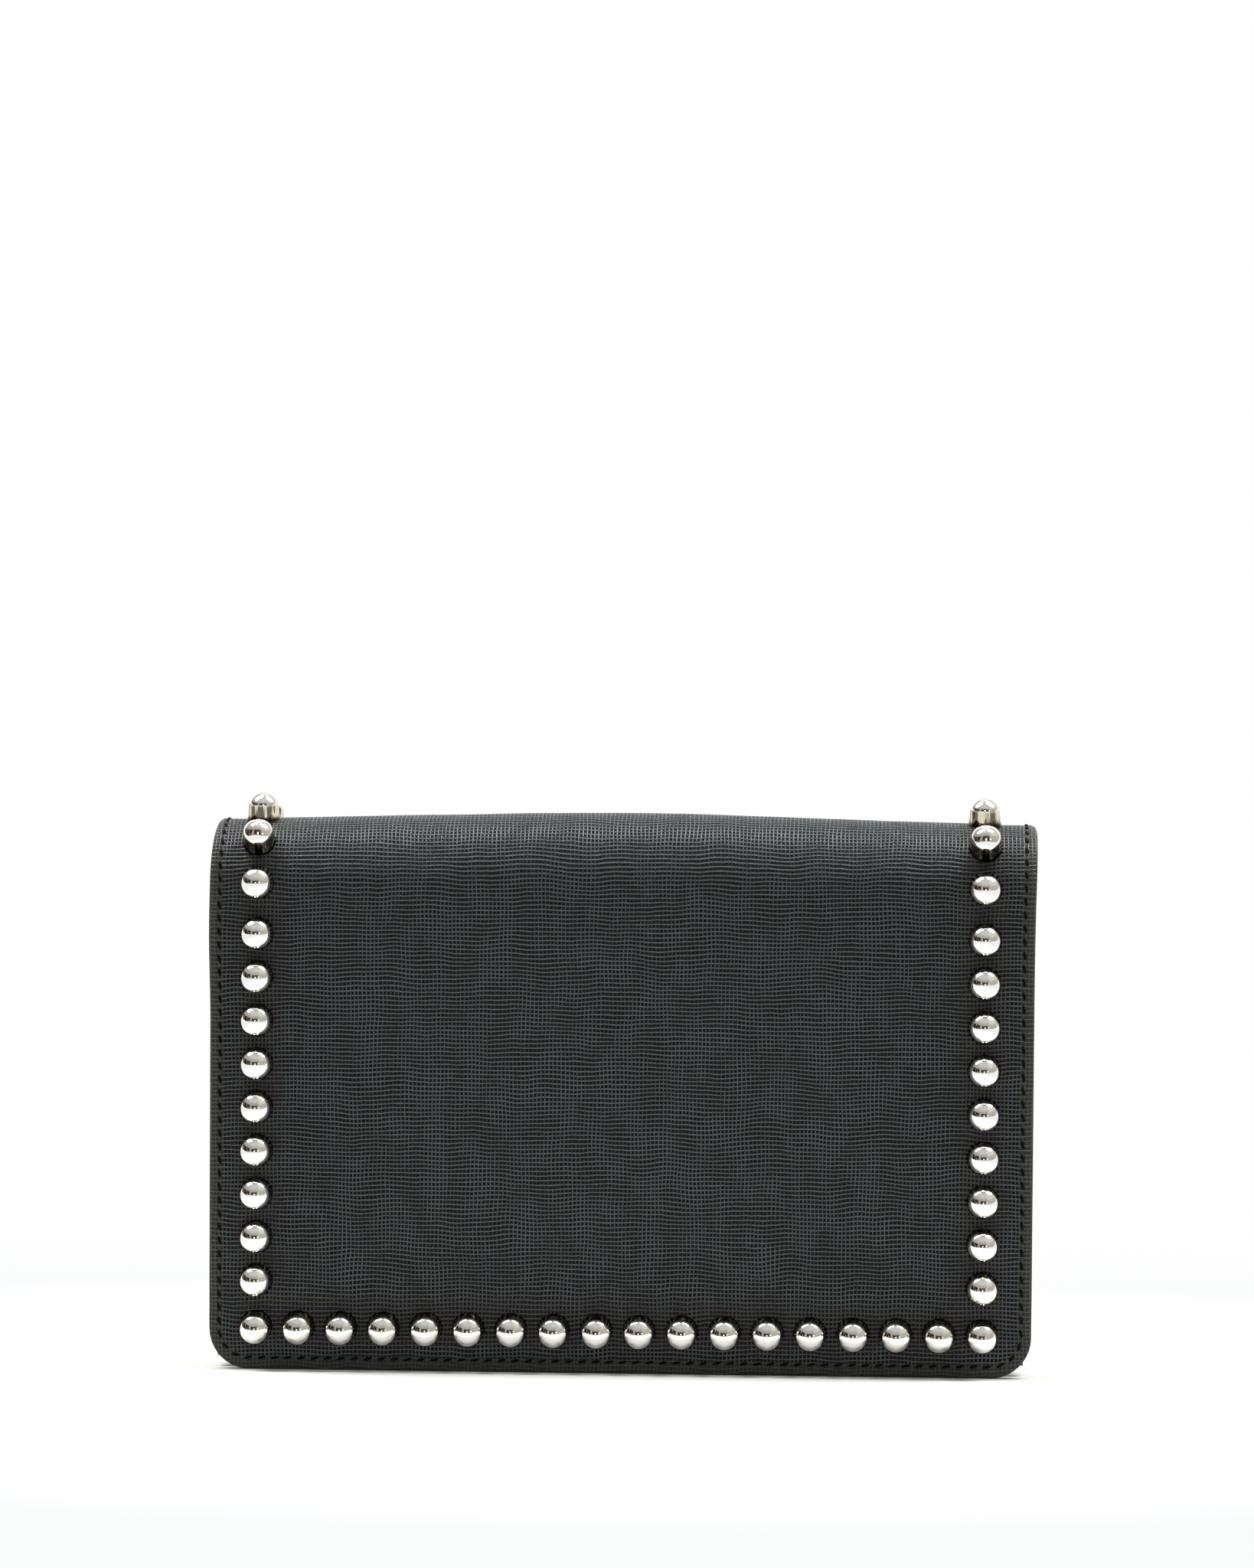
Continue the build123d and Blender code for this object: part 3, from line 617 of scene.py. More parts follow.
def sink_board(bm, far, thickness, hinge=None, seam=None):
    """Sinks the board's seat into the sheet's far face; at a seam the seat stops at the hinge."""
    level = [f for f in bm.faces if abs(f.calc_center_median().z + far) < TINY]
    face = max(level, key=lambda f: f.calc_area())
    bmesh.ops.inset_region(bm, faces=[face], thickness=BOARD_INSET, use_even_offset=True)
    if hinge is not None:
        for v in face.verts:
            if abs(v.co.y - seam) < 1.5 * BOARD_INSET:
                v.co.y = hinge
    pull_out(bm, [face], thickness)
    if face.is_valid:
        bmesh.ops.delete(bm, geom=[face], context="FACES_ONLY")


def slice_sheet(bm, axis, places):
    """Cuts the mesh across at each place along an axis, so that it can bend there."""
    normal = Vector([float(k == axis) for k in range(3)])
    for place in places:
        parts = bm.verts[:] + bm.edges[:] + bm.faces[:]
        bmesh.ops.bisect_plane(bm, geom=parts, dist=TINY, plane_co=normal * place, plane_no=normal)


def steps(low, high, pitch):
    """Even places between two ends, the ends left out."""
    count = max(1, round((high - low) / pitch))
    return [low + (high - low) * k / count for k in range(1, count)]


# Cuts beside an edge, close at the stitches and wider inwards.
EDGE_STEPS = [d * MM for d in (0.9, 1.5, 2.0, 2.5, 3.0, 3.7, 4.7, 6.0, 7.6, 9.4)]


def edge_steps(edge, inward):
    """Places of the cuts beside an edge; inward is 1 or -1."""
    return [edge + inward * step for step in EDGE_STEPS]


def lines_between(low, high, pitch):
    """Cuts across a sheet between two edges: close at the edges, wider between."""
    edges = edge_steps(low, 1) + edge_steps(high, -1)
    return sorted(edges + steps(low + EDGE_STEPS[-1], high - EDGE_STEPS[-1], pitch))


def columns(half, pitch=4 * MM):
    """Cuts across the width of a sheet."""
    return lines_between(-half, half, pitch)


def roll_rows(low, high, pitch=0.6 * MM):
    """Cuts round the roll, with a close pair beside each end that is a seam."""
    first, last = max(low, back_end), min(high, roll_end)
    if last <= first:
        return []
    rows = steps(first, last, pitch)
    rows += [place for place in (first, last) if low < place < high]
    rows += [place for place in (low + 0.1 * MM, high - 0.1 * MM) if back_end < place < roll_end]
    return rows


def outline_distance(x, s, half, low, high, radius=CORNER):
    """Distance inwards from a rectangle's edge with round corners."""
    over_x = abs(x) - half + radius
    over_s = abs(s - (low + high) / 2) - (high - low) / 2 + radius
    outside = hypot(max(over_x, 0), max(over_s, 0))
    return radius - outside - min(max(over_x, over_s), 0.0)


def mark_sheet(bm, rim=lambda x, s: 5 * MM):
    """Writes the flat place of every corner and the distance of every point from the edge, which
    is one distance all over a sheet whose finish doesn't change at its edges."""
    uv = bm.loops.layers.uv.new("Sheet")
    for face in bm.faces:
        for loop in face.loops:
            loop[uv].uv = loop.vert.co.xy
    layer = bm.verts.layers.float.new("rim")
    for v in bm.verts:
        v[layer] = max(rim(v.co.x, v.co.y), 0.0)


def paint_edges(bm, seams=()):
    """Gives the sheet's cut edges the second material."""
    for face in bm.faces:
        place = face.calc_center_median().y
        if abs(face.normal.z) < 0.8 and not any(abs(place - end) < TINY for end in seams):
            face.material_index = 1


def lay_sheet(bm, line, form=None):
    """Moves a flat mesh onto a line; form gives the shift along x and outwards at (x, travel)."""
    for v in bm.verts:
        x, s, rise = v.co
        y, z, out_y, out_z = line(s)
        if form:
            shift, lift = form(x, s)
            x, rise = x + shift, rise + lift
        v.co = (x, y + out_y * rise, z + out_z * rise)


def roll_form(x, travel):
    """Shape of the soft wrap at (x, travel): the shift of its edges and its rise."""
    sizes = bpy.context.scene.wallet_sizes
    crest = (back_end + roll_end) / 2
    shift = sizes.roll_skew * exp(-(((travel - crest) / sizes.skew_reach) ** 2))
    if x < 0:
        draw_from, draw_to = crest - 32 * MM, crest - 55 * MM
        shift += sizes.side_draw * smooth_step(draw_from, draw_to, travel)
    return shift * (x / half_width) ** 6, swell(x, travel, sizes)


def smooth_step(low, high, value):
    """From 0 at the low value to 1 at the high one, level at both."""
    share = min(max((value - low) / (high - low), 0.0), 1.0)
    return share * share * (3 - 2 * share)


def swell(x, travel, sizes):
    """How far the roll stands out of its circle: fuller at mid width, round at its ends."""
    over = sin(min(max(roll_angle(travel), 0.0), pi)) ** 2
    plain, tip = half_width - 16 * MM, 2 * MM
    rise = sizes.crest_swell * max(1 - (x / plain) ** 2, 0.0) ** 2
    rise -= sizes.crest_droop * smooth_step(plain, half_width - 6 * MM, abs(x))
    near = min(max(1 - (half_width - abs(x)) / tip, 0.0), 1.0)
    return over * (rise - 0.75 * tip * (1 - sqrt(1 - near * near)))


def ripple(x, s, rim, size):
    """Gentle waves of a panel, still along its edges and studs."""
    still, fade = 17 * MM, 14 * MM
    calm = min(max((rim - still) / fade, 0.0), 1.0)
    wave = noise.noise(Vector((x * 28, s * 28, 3.0)))
    wave += 0.5 * noise.noise(Vector((x * 70, s * 70, 10.0)))
    return size * calm * min(max(0.5 + wave, 0.0), 1.0)


def groove(place, middle, half):
    """Depth of a groove, from 1 in its middle to 0 at its sides."""
    return max(1 - abs(place - middle) / half, 0.0)


def edge_relief(rim, seam):
    """Padding between the edge and the stitches, and the groove that they pull."""
    bulge = 0.14 * MM * max(sin(pi * min(rim / seam, 1.0)), 0.0)
    return bulge - 0.16 * MM * groove(rim, seam, 0.8 * MM)


def wrap_rim(x, s):
    """Distance inwards from the edge of the whole wrap."""
    return outline_distance(x, s, half_width, 0.0, flap_end)


def cut_section(section, near, far, rounds, pitch, board=False):
    """One layer of a section, flat, with the cuts along which it bends. A section with a hem may
    have the seat of a board, which ends at the section's hinge."""
    low, high = section.low, section.high
    open_ends = [end for end in (low, high) if end in seams]
    hems = [end for end in (low, high) if end not in seams]
    bm = cut_sheet(half_width, low, high, near, far, hems, seams=open_ends, rounds=rounds)
    if hems and board:
        sink_board(bm, far, BOARD, hinge_travel[section.hinge], open_ends[0])
    slice_sheet(bm, 0, columns(half_width))
    rows = roll_rows(low, high)
    for hem in hems:
        inward, flat_end = (1, back_end) if hem == low else (-1, roll_end)
        rows += edge_steps(hem, inward)
        rows += steps(*sorted((hem + inward * EDGE_STEPS[-1], flat_end)), pitch)
    slice_sheet(bm, 1, rows)
    mark_sheet(bm, wrap_rim)
    paint_edges(bm, open_ends)
    return bm


def fit_section(bm, layer, materials, section):
    """Lays one layer of a section on the wrap's line, and hides the imported layers that it stands
    for.
    """
    lay_sheet(bm, wrap_line, roll_form)
    piece = settle(bm, f"{layer}_{section.name}", materials)
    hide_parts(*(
        f"roll_{layer}_{owner[5:]}" if owner.startswith("roll") else f"{owner}_{layer}"
        for owner in section.owners
    ))
    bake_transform(piece)


# ---- Stitches -----------------------------------------------------------------------------------
def seam_spots(half, low, high, radius, pitch):
    """Evenly spaced (x, s, heading) round a rectangle with round corners, against the clock."""
    across, along = 2 * (half - radius), high - low - 2 * radius
    legs = [(across, 0.0), (pi * radius / 2, pi / 2), (along, 0.0), (pi * radius / 2, pi / 2)] * 2
    total = sum(leg for leg, _ in legs)
    count = round(total / pitch)
    spots = []
    x, s, heading, passed = -half + radius, low, 0.0, 0.0
    for leg, turn in legs:
        while len(spots) < count and total * len(spots) / count < passed + leg:
            step = total * len(spots) / count - passed
            spots.append(advance(x, s, heading, step, turn and step / radius, radius))
        x, s, heading = advance(x, s, heading, leg, turn, radius)
        passed += leg
    return spots


def advance(x, s, heading, step, turn, radius):
    """Where a line has come to after a straight step, or after a turn of that radius."""
    if turn:
        x += radius * (sin(heading + turn) - sin(heading))
        s -= radius * (cos(heading + turn) - cos(heading))
        return x, s, heading + turn
    return x + step * cos(heading), s + step * sin(heading), heading


def stitched_outline(sizes, low, high):
    """The seam inside the edges of a panel as wide as the wallet."""
    low, high = low + sizes.hem_inset, high - sizes.hem_inset
    half, radius = half_width - sizes.side_inset, CORNER - sizes.side_inset
    return seam_spots(half, low, high, radius, sizes.stitch_pitch)


def straight_spots(x0, s0, x1, s1, pitch):
    """Evenly spaced (x, s, heading) on a straight seam."""
    reach, heading = hypot(x1 - x0, s1 - s0), atan2(s1 - s0, x1 - x0)
    count = max(1, int(reach / pitch))
    shares = [(k + 0.5) / count for k in range(count)]
    return [(x0 + (x1 - x0) * share, s0 + (s1 - s0) * share, heading) for share in shares]


def stitch_shape(long, wide):
    """One stitch on the XY plane: a rounded thread whose ends dip into their holes."""
    bm = bmesh.new()
    bmesh.ops.create_uvsphere(bm, u_segments=6, v_segments=5, radius=0.5)
    turn_verts(bm, pi / 2, "Y")
    for v in bm.verts:
        share = v.co.x * 2
        v.co = (v.co.x * long, v.co.y * wide, v.co.z * wide - 0.42 * wide * share * share)
    shape = bpy.data.meshes.new("stitch_shape")
    bm.to_mesh(shape)
    bm.free()
    return shape


def sew(spots, depth, line, form=None, inside=False, slant=14.0, rise=0.12 * MM):
    """A mesh of stitches at the spots, on the face at a depth, or on the far face if inside."""
    sizes = bpy.context.scene.wallet_sizes
    shape = stitch_shape(sizes.stitch_length, sizes.stitch_width)
    bm = bmesh.new()
    outwards = -1 if inside else 1
    for x, s, heading in spots:
        start = len(bm.verts)
        bm.from_mesh(shape)
        bm.verts.ensure_lookup_table()
        fresh = bm.verts[start:]
        turn_verts(bm, heading + outwards * radians(slant), "Z", fresh)
        if inside:
            bmesh.ops.scale(bm, vec=(1, 1, -1), verts=fresh)
        bmesh.ops.translate(bm, vec=(x, s, outwards * rise - depth), verts=fresh)
    bpy.data.meshes.remove(shape)
    lay_sheet(bm, line, form)
    return bm


# ---- Turned and swept metal ---------------------------------------------------------------------
def spin(bm, parts, centre, axis, angle, count, full=False):
    """Spins parts about an axis, and gives what is at the end."""
    return bmesh.ops.spin(
        bm, geom=parts, cent=centre, axis=axis, dvec=(0, 0, 0), angle=angle, steps=count,
        use_merge=full, use_duplicate=False,
    )["geom_last"]


def turn_shape(profile, flats, rise_height=None):
    """Turns a profile of (radius, height) points, from the axis to the axis, about Z."""
    bm = bmesh.new()
    points = [bm.verts.new((radius, 0, height)) for radius, height in profile]
    lines = [bm.edges.new(pair) for pair in zip(points, points[1:])]
    spin(bm, points + lines, (0, 0, 0), (0, 0, 1), 2 * pi, flats, True)
    bmesh.ops.remove_doubles(bm, verts=bm.verts, dist=TINY)
    bmesh.ops.recalc_face_normals(bm, faces=bm.faces)
    # The rise, a share of the height, places the polished finish's painted reflection and shade.
    if rise_height:
        layer = bm.verts.layers.float.new("rise")
        for v in bm.verts:
            v[layer] = max(v.co.z / rise_height, 0.0)
    return bm


def plate_shape(outline, low, high, rim, corners=0.0):
    """A plate: an outline of (x, y) points between two heights, its corners and rims rounded."""
    bm = bmesh.new()
    bm.faces.new([bm.verts.new((x, y, high)) for x, y in outline])
    if corners:
        bevel(bm, bm.verts[:], corners, 4, "VERTICES", clamp=True)
    pull_out(bm, bm.faces[:], low - high)
    bmesh.ops.recalc_face_normals(bm, faces=bm.faces)
    level = [e for e in bm.edges if abs(e.verts[0].co.z - e.verts[1].co.z) < TINY]
    bevel(bm, level, rim, 2)
    return bm


def rectangle(long, wide):
    """Outline of a rectangle round the origin."""
    return [(x * long / 2, y * wide / 2) for x, y in ((-1, -1), (1, -1), (1, 1), (-1, 1))]


def sweep_wire(start, way, radius, moves, flats=14):
    """A closed round wire: a ring of points carried along straight runs and turns.
    A move is a vector for a run, or (centre, axis, angle, steps) for a turn."""
    bm = bmesh.new()
    ring = bmesh.ops.create_circle(bm, segments=flats, radius=radius)["verts"]
    facing = Vector((0, 0, 1)).rotation_difference(Vector(way)).to_matrix().to_4x4()
    bmesh.ops.transform(bm, matrix=Matrix.Translation(start) @ facing, verts=ring)
    front = bm.edges[:]
    for move in moves:
        if isinstance(move, Vector):
            made = bmesh.ops.extrude_edge_only(bm, edges=front)["geom"]
            fresh = of_kind(made, bmesh.types.BMVert)
            bmesh.ops.translate(bm, vec=move, verts=fresh)
        else:
            made = spin(bm, front, *move)
            fresh = of_kind(made, bmesh.types.BMVert)
        front = of_kind(made, bmesh.types.BMEdge)
        front = [e for e in front if all(v in fresh for v in e.verts)]
    bmesh.ops.remove_doubles(bm, verts=bm.verts, dist=0.01 * MM)
    return bm


def wrap_matrix(x, travel, tilt):
    """Place on the wrap's outer surface, with Z outwards."""
    y, z, out_y, out_z = wrap_line(travel)
    axes = Matrix(((1, 0, 0, x), (0, out_z, out_y, y), (0, -out_y, out_z, z), (0, 0, 0, 1)))
    return axes @ Matrix.Rotation(tilt[0], 4, "X") @ Matrix.Rotation(tilt[1], 4, "Y")


# ---- Operators ----------------------------------------------------------------------------------
class WALLET_OT_leather(bpy.types.Operator):
    """Outer leather in four sections that meet in the middle of the roll's strips"""

    bl_idname = "wallet.leather"
    bl_label = "Outer leather"
    bl_options = {"REGISTER", "UNDO"}

    def execute(self, context):
        sizes = context.scene.wallet_sizes
        for section in SECTIONS:
            rounds = (sizes.edge_round, 0.0)
            bm = cut_section(section, 0.0, LEATHER + BOARD, rounds, 4.5 * MM, board=True)
            for v in bm.verts:
                if v.co.z > -0.5 * LEATHER:
                    rim = wrap_rim(v.co.x, v.co.y)
                    v.co.z += edge_relief(rim, sizes.side_inset)
                    v.co.z += ripple(v.co.x, v.co.y, rim, sizes.ripple)
            materials = ("embossed_leather", "edge_paint")
            fit_section(bm, "leather", materials, section)
        return {"FINISHED"}


class WALLET_OT_lining(bpy.types.Operator):
    """Lining of the wrap, in sections like the leather's"""

    bl_idname = "wallet.lining"
    bl_label = "Lining"
    bl_options = {"REGISTER", "UNDO"}

    def execute(self, context):
        for section in SECTIONS:
            bm = cut_section(section, LEATHER + BOARD, STACK, (0.0, 0.3 * MM), 6 * MM)
            materials, leather = ("lining_leather", "edge_paint"), f"leather_{section.name}"
            fit_section(bm, "lining", materials, section)
        return {"FINISHED"}


class WALLET_OT_stitching(bpy.types.Operator):
    """Stitches round the whole wrap, outside and inside"""

    bl_idname = "wallet.stitching"
    bl_label = "Stitching"
    bl_options = {"REGISTER", "UNDO"}

    def execute(self, context):
        spots = stitched_outline(context.scene.wallet_sizes, 0.0, flap_end)
        for section in SECTIONS:
            own = [spot for spot in spots if section.low <= spot[1] < section.high]
            bm = sew(own, 0.1 * MM, wrap_line, roll_form)
            add_shape(bm, sew(own, STACK, wrap_line, roll_form, inside=True))
            piece = settle_thread(bm, f"stitches_{section.name}")
            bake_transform(piece)
        return {"FINISHED"}


class WALLET_OT_studs(bpy.types.Operator):
    """Dome studs along the sides and hems of the wrap"""

    bl_idname = "wallet.studs"
    bl_label = "Studs"
    bl_options = {"REGISTER", "UNDO"}

    def execute(self, context):
        sizes = context.scene.wallet_sizes
        radius, height = sizes.stud_radius, sizes.stud_height
        # The crown is a hyperbola, with its heights kept to a thousandth of the stud's.
        crown = [(r / 10, round(1 - 1.6 * (sqrt(1 + r * r / 200) - 1), 3)) for r in range(8)]
        shoulder = [(0.79, 0.765), (0.86, 0.718), (0.91, 0.672), (0.94, 0.62), (0.955, 0.56)]
        wall = [(0.965, 0.48), (1.0, 0.12)]
        foot = [(1.04, 0.05), (1.07, 0.0), (1.07, -0.08), (0.0, -0.08)]
        profile = crown + shoulder + wall + foot
        shape = turn_shape([(r * radius, h * height) for r, h in profile], 32, height)
        chance, wobble = random.Random(11), 0.8
        for node, (body, spots) in self.rows(sizes.hem_studs).items():
            bm = bmesh.new()
            lean = sizes.hem_lean if node.endswith("hem") else 0.0
            for x, travel in spots:
                tilt = [radians(chance.uniform(-wobble, wobble)) for _ in range(2)]
                tilt[0] += lean if body == "back" else -lean
                add_shape(bm, shape, wrap_matrix(x, travel, tilt), keep=True)
            piece = settle_metal(bm, node.replace("studs_", "dome_"), "polished_nickel")
            fit(piece, "stud_metal", body, node)
        shape.free()
        return {"FINISHED"}

    def rows(self, count):
        """The body and the places (x, travel) of each packed row of studs."""
        stud_x = half_width - STUD_INSET
        first, last = HEM_STUD_INSET + CORNER_PITCH, top_stud - SHOULDER_PITCH
        side_travel = [first + (last - first) * k / SIDE_GAPS for k in range(SIDE_GAPS + 1)]
        roll_travel = [top_stud + roll_pitch * k for k in range(1, ROLL_STUDS + 1)]
        hem_x = [-stud_x + 2 * stud_x * k / (count - 1) for k in range(count)]
        rows = {
            "back_studs_hem": ("back", [(x, HEM_STUD_INSET) for x in hem_x]),
            "flap_studs_hem": ("flap", [(x, flap_end - HEM_STUD_INSET) for x in hem_x]),
        }
        for name, side in SIDES:
            x = side * stud_x
            rows[f"back_studs_{name}"] = ("back", [(x, s) for s in side_travel + [top_stud]])
            rows[f"flap_studs_{name}"] = ("flap", [(x, s) for s in roll_travel[3:]])
        for strip, travel in zip(("rear", "crown", "front"), roll_travel):
            pair = [(side * stud_x, travel) for _, side in SIDES]
            rows[f"roll_studs_{strip}"] = (f"roll_{strip}", pair)
        return rows


class WALLET_OT_card_pockets(bpy.types.Operator):
    """Three lapped card pockets on the back panel, divided by a middle seam"""

    bl_idname = "wallet.card_pockets"
    bl_label = "Card pockets"
    bl_options = {"REGISTER", "UNDO"}

    def execute(self, context):
        pitch = context.scene.wallet_sizes.stitch_pitch
        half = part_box("card_pocket_upper")[1].x
        side_seam, foot_seam, lap = half - 2.2 * MM, 2.2 * MM, 13.5 * MM
        for layer, name in enumerate(("upper", "middle", "lower")):
            near = STACK + layer * CARD
            low_box, high_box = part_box(f"card_pocket_{name}")
            foot = low_box.z / cos(BACK_LEAN)
            mouth = (high_box.z - near * sin(BACK_LEAN)) / cos(BACK_LEAN)
            bm = cut_sheet(half, foot, mouth, near, near + CARD, rounds=(0.0, 0.22 * MM))
            slice_sheet(bm, 0, columns(half, 5 * MM) + [x * MM for x in (-2, -1, 1, 2)])
            slice_sheet(bm, 1, lines_between(foot, mouth, 6 * MM))
            mark_sheet(bm, lambda x, s: outline_distance(x, s, half, foot, mouth, PANEL_CORNER))
            paint_edges(bm)
            for v in bm.verts:
                if v.co.z < -near - 0.5 * CARD:
                    crease = groove(mouth - v.co.y, 2.4 * MM, 0.7 * MM)
                    for seam in (0.0, side_seam):
                        crease += groove(abs(v.co.x), seam, 1.1 * MM)
                    v.co.z += 0.12 * MM * crease
            lay_sheet(bm, wrap_line)
            piece = settle(bm, f"card_sleeve_{name}", ("card_leather", "edge_paint"))
            fit(piece, "card_leather", "back", f"card_pocket_{name}")
            below = foot if name == "lower" else mouth - lap
            spots = []
            for x in (-side_seam, 0.0, side_seam):
                spots += straight_spots(x, below + 2 * MM, x, mouth - 0.6 * MM, pitch)
            if name == "lower":
                inner, level = half - 3.5 * MM, foot + foot_seam
                spots += straight_spots(-inner, level, inner, level, pitch)
            bm = sew(spots, near + CARD, wrap_line, inside=True, rise=0.06 * MM)
            fit(settle_thread(bm, f"card_stitches_{name}"), "card_leather", "back")
        return {"FINISHED"}


class WALLET_OT_front_panel(bpy.types.Operator):
    """Front panel under the flap: embossed leather, board and lining"""

    bl_idname = "wallet.front_panel"
    bl_label = "Front panel"
    bl_options = {"REGISTER", "UNDO"}

    def execute(self, context):
        sizes = context.scene.wallet_sizes
        near = STACK + PANEL_GAP
        inner = near + LEATHER + BOARD
        panel_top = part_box("front_leather")[1].z
        low, high = height_front(panel_top, near), height_front(0.0, near)

        def rim(x, s):
            corner = PANEL_CORNER if s < (low + high) / 2 else CORNER
            return outline_distance(x, s, half_width, low, high, corner)

        for name, start, end, rounds, material, slot, held_on in (
            ("leather", near, inner, (sizes.edge_round, 0.0),
             "embossed_leather", "wrap_leather", "front_stiffener"),
            ("lining", inner, near + STACK, (0.0, 0.3 * MM),
             "lining_leather", "lining_leather", "front_face_leather"),
        ):
            bm = cut_sheet(half_width, low, high, start, end, [high], rounds=rounds)
            if name == "leather":
                sink_board(bm, end, BOARD)
            slice_sheet(bm, 0, columns(half_width, 6 * MM))
            slice_sheet(bm, 1, lines_between(low, high, 6 * MM))
            mark_sheet(bm, rim)
            paint_edges(bm)
            if name == "leather":
                for v in bm.verts:
                    if v.co.z > -start - 0.5 * LEATHER:
                        v.co.z += min(edge_relief(rim(v.co.x, v.co.y), sizes.side_inset), 0.1 * MM)
            lay_sheet(bm, wrap_line)
            piece = settle(bm, f"front_face_{name}", (material, "edge_paint"))
            fit(piece, slot, "front", f"front_{name}")
        spots = stitched_outline(sizes, low, high)
        bm = sew(spots, near + 0.12 * MM, wrap_line, rise=0.05 * MM)
        add_shape(bm, sew(spots, near + STACK, wrap_line, inside=True, rise=0.04 * MM))
        fit(settle_thread(bm, "front_stitches"), "lining_leather", "front")
        return {"FINISHED"}


# Y of the inner faces that the gussets and the pocket lie between, and of the middle, at a height.
def back_face_y(height):
    reach = roll_radius - STACK - 3 * CARD
    return roll_y - reach / cos(BACK_LEAN) + (roll_z - height) * tan(BACK_LEAN)


def front_face_y(height):
    reach = roll_radius - 2 * STACK - PANEL_GAP
    return roll_y + reach / cos(FRONT_LEAN) - (roll_z - height) * tan(FRONT_LEAN)


def middle_y(height):
    return (back_face_y(height) + front_face_y(height)) / 2


wall_low, wall_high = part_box("pocket_wall_back")
pocket_half, pocket_foot, pocket_top = wall_high.x, wall_low.z, wall_high.z
mouth_y, foot_y = middle_y(pocket_top), middle_y(pocket_foot)


def pocket_share(height):
    """How far up the pocket a height is, from 0 at its foot to 1 at its mouth."""
    return (height - pocket_foot) / (pocket_top - pocket_foot)


def pocket_reach(height):
    """From the pocket's middle to the outside of a wall."""
    return HALF_FOOT + (HALF_MOUTH - HALF_FOOT) * pocket_share(height)


class WALLET_OT_zip_pocket(bpy.types.Operator):
    """Walls, ends and floor of the zipped pocket, and the strip under it"""

    bl_idname = "wallet.zip_pocket"
    bl_label = "Zipped pocket"
    bl_options = {"REGISTER", "UNDO"}

    def execute(self, context):
        pitch = context.scene.wallet_sizes.stitch_pitch
        tall = pocket_top - pocket_foot
        for name, side in (("back", -1), ("front", 1)):
            top_y, low_y = mouth_y + side * HALF_MOUTH, foot_y + side * HALF_FOOT
            slope = hypot(top_y - low_y, tall)
            out_y, out_z = side * tall / slope, -side * (top_y - low_y) / slope

            def wall_line(s):
                share = s / slope
                return low_y + (top_y - low_y) * share, pocket_foot + tall * share, out_y, out_z

            def rim(x, s):
                return outline_distance(x, s, pocket_half, 0.0, slope, PANEL_CORNER)

            rounds = (0.22 * MM, 0.1 * MM)
            bm = cut_sheet(pocket_half, 0.0, slope, 0.0, POCKET_LEATHER, rounds=rounds)
            slice_sheet(bm, 0, columns(pocket_half, 6 * MM))
            slice_sheet(bm, 1, lines_between(0.0, slope, 6 * MM))
            mark_sheet(bm, rim)
            paint_edges(bm)
            lay_sheet(bm, wall_line)
            if name == "back":
                add_shape(bm, self.floor(low_y))
                for _, end in SIDES:
                    add_shape(bm, self.end_wall(end))
            piece = settle(bm, f"pocket_side_{name}", ("pocket_leather", "edge_paint"))
            fit(piece, "pocket_leather", "pocket", f"pocket_wall_{name}")
            x, low, high, top = pocket_half - 1.6 * MM, 2 * MM, slope - 3 * MM, slope - 1.6 * MM
            spots = straight_spots(-x, top, x, top, pitch)
            for seam in (-x, x):
                spots += straight_spots(seam, low, seam, high, pitch)
            bm = sew(spots, 0.05 * MM, wall_line, rise=0.02 * MM)
            fit(settle_thread(bm, f"pocket_stitches_{name}"), "pocket_leather", "pocket")

        low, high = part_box("base_strip")
        rounds = (0.25 * MM, 0.25 * MM)
        bm = cut_sheet(high.x, low.y, high.y, 0.0, high.z - low.z, rounds=rounds)
        slice_sheet(bm, 0, steps(-high.x, high.x, 6 * MM))
        mark_sheet(bm)
        paint_edges(bm)
        lay_sheet(bm, lambda s: (s, high.z, 0.0, 1.0))
        piece = settle(bm, "foot_strip", ("gusset_leather", "edge_paint"))
        fit(piece, "gusset_leather", "back", "base_strip")
        return {"FINISHED"}

    def floor(self, wall_y):
        """Strip between the feet of the two walls."""
        high = foot_y + HALF_FOOT - POCKET_LEATHER - SEAT_GAP
        bm = cut_sheet(pocket_half, wall_y + POCKET_LEATHER, high, 0.0, POCKET_LEATHER)
        mark_sheet(bm)
        lay_sheet(bm, lambda s: (s, pocket_foot + POCKET_LEATHER, 0.0, 1.0))
        return bm

    def end_wall(self, end):
        """Strip that closes one end of the pocket, between its walls and under the zip."""
        thick, inset = 0.8 * MM, 1.6 * MM
        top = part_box("zip_tape_back")[0].z - 0.3 * MM
        low = pocket_foot + POCKET_LEATHER
        bm = bmesh.new()
        bmesh.ops.create_cube(bm, size=1.0)
        edges = [e for e in bm.edges if abs(e.verts[0].co.z - e.verts[1].co.z) > 0.5]
        bmesh.ops.subdivide_edges(bm, edges=edges, cuts=8, use_grid_fill=True)
        mark_sheet(bm)
        for v in bm.verts:
            height = low + (top - low) * (v.co.z + 0.5)
            middle = foot_y + (mouth_y - foot_y) * pocket_share(height)
            wide = 2 * (pocket_reach(height) - POCKET_LEATHER)
            x = end * (pocket_half - inset + thick * v.co.x)
            v.co = (x, middle + wide * v.co.y, height)
        return bm


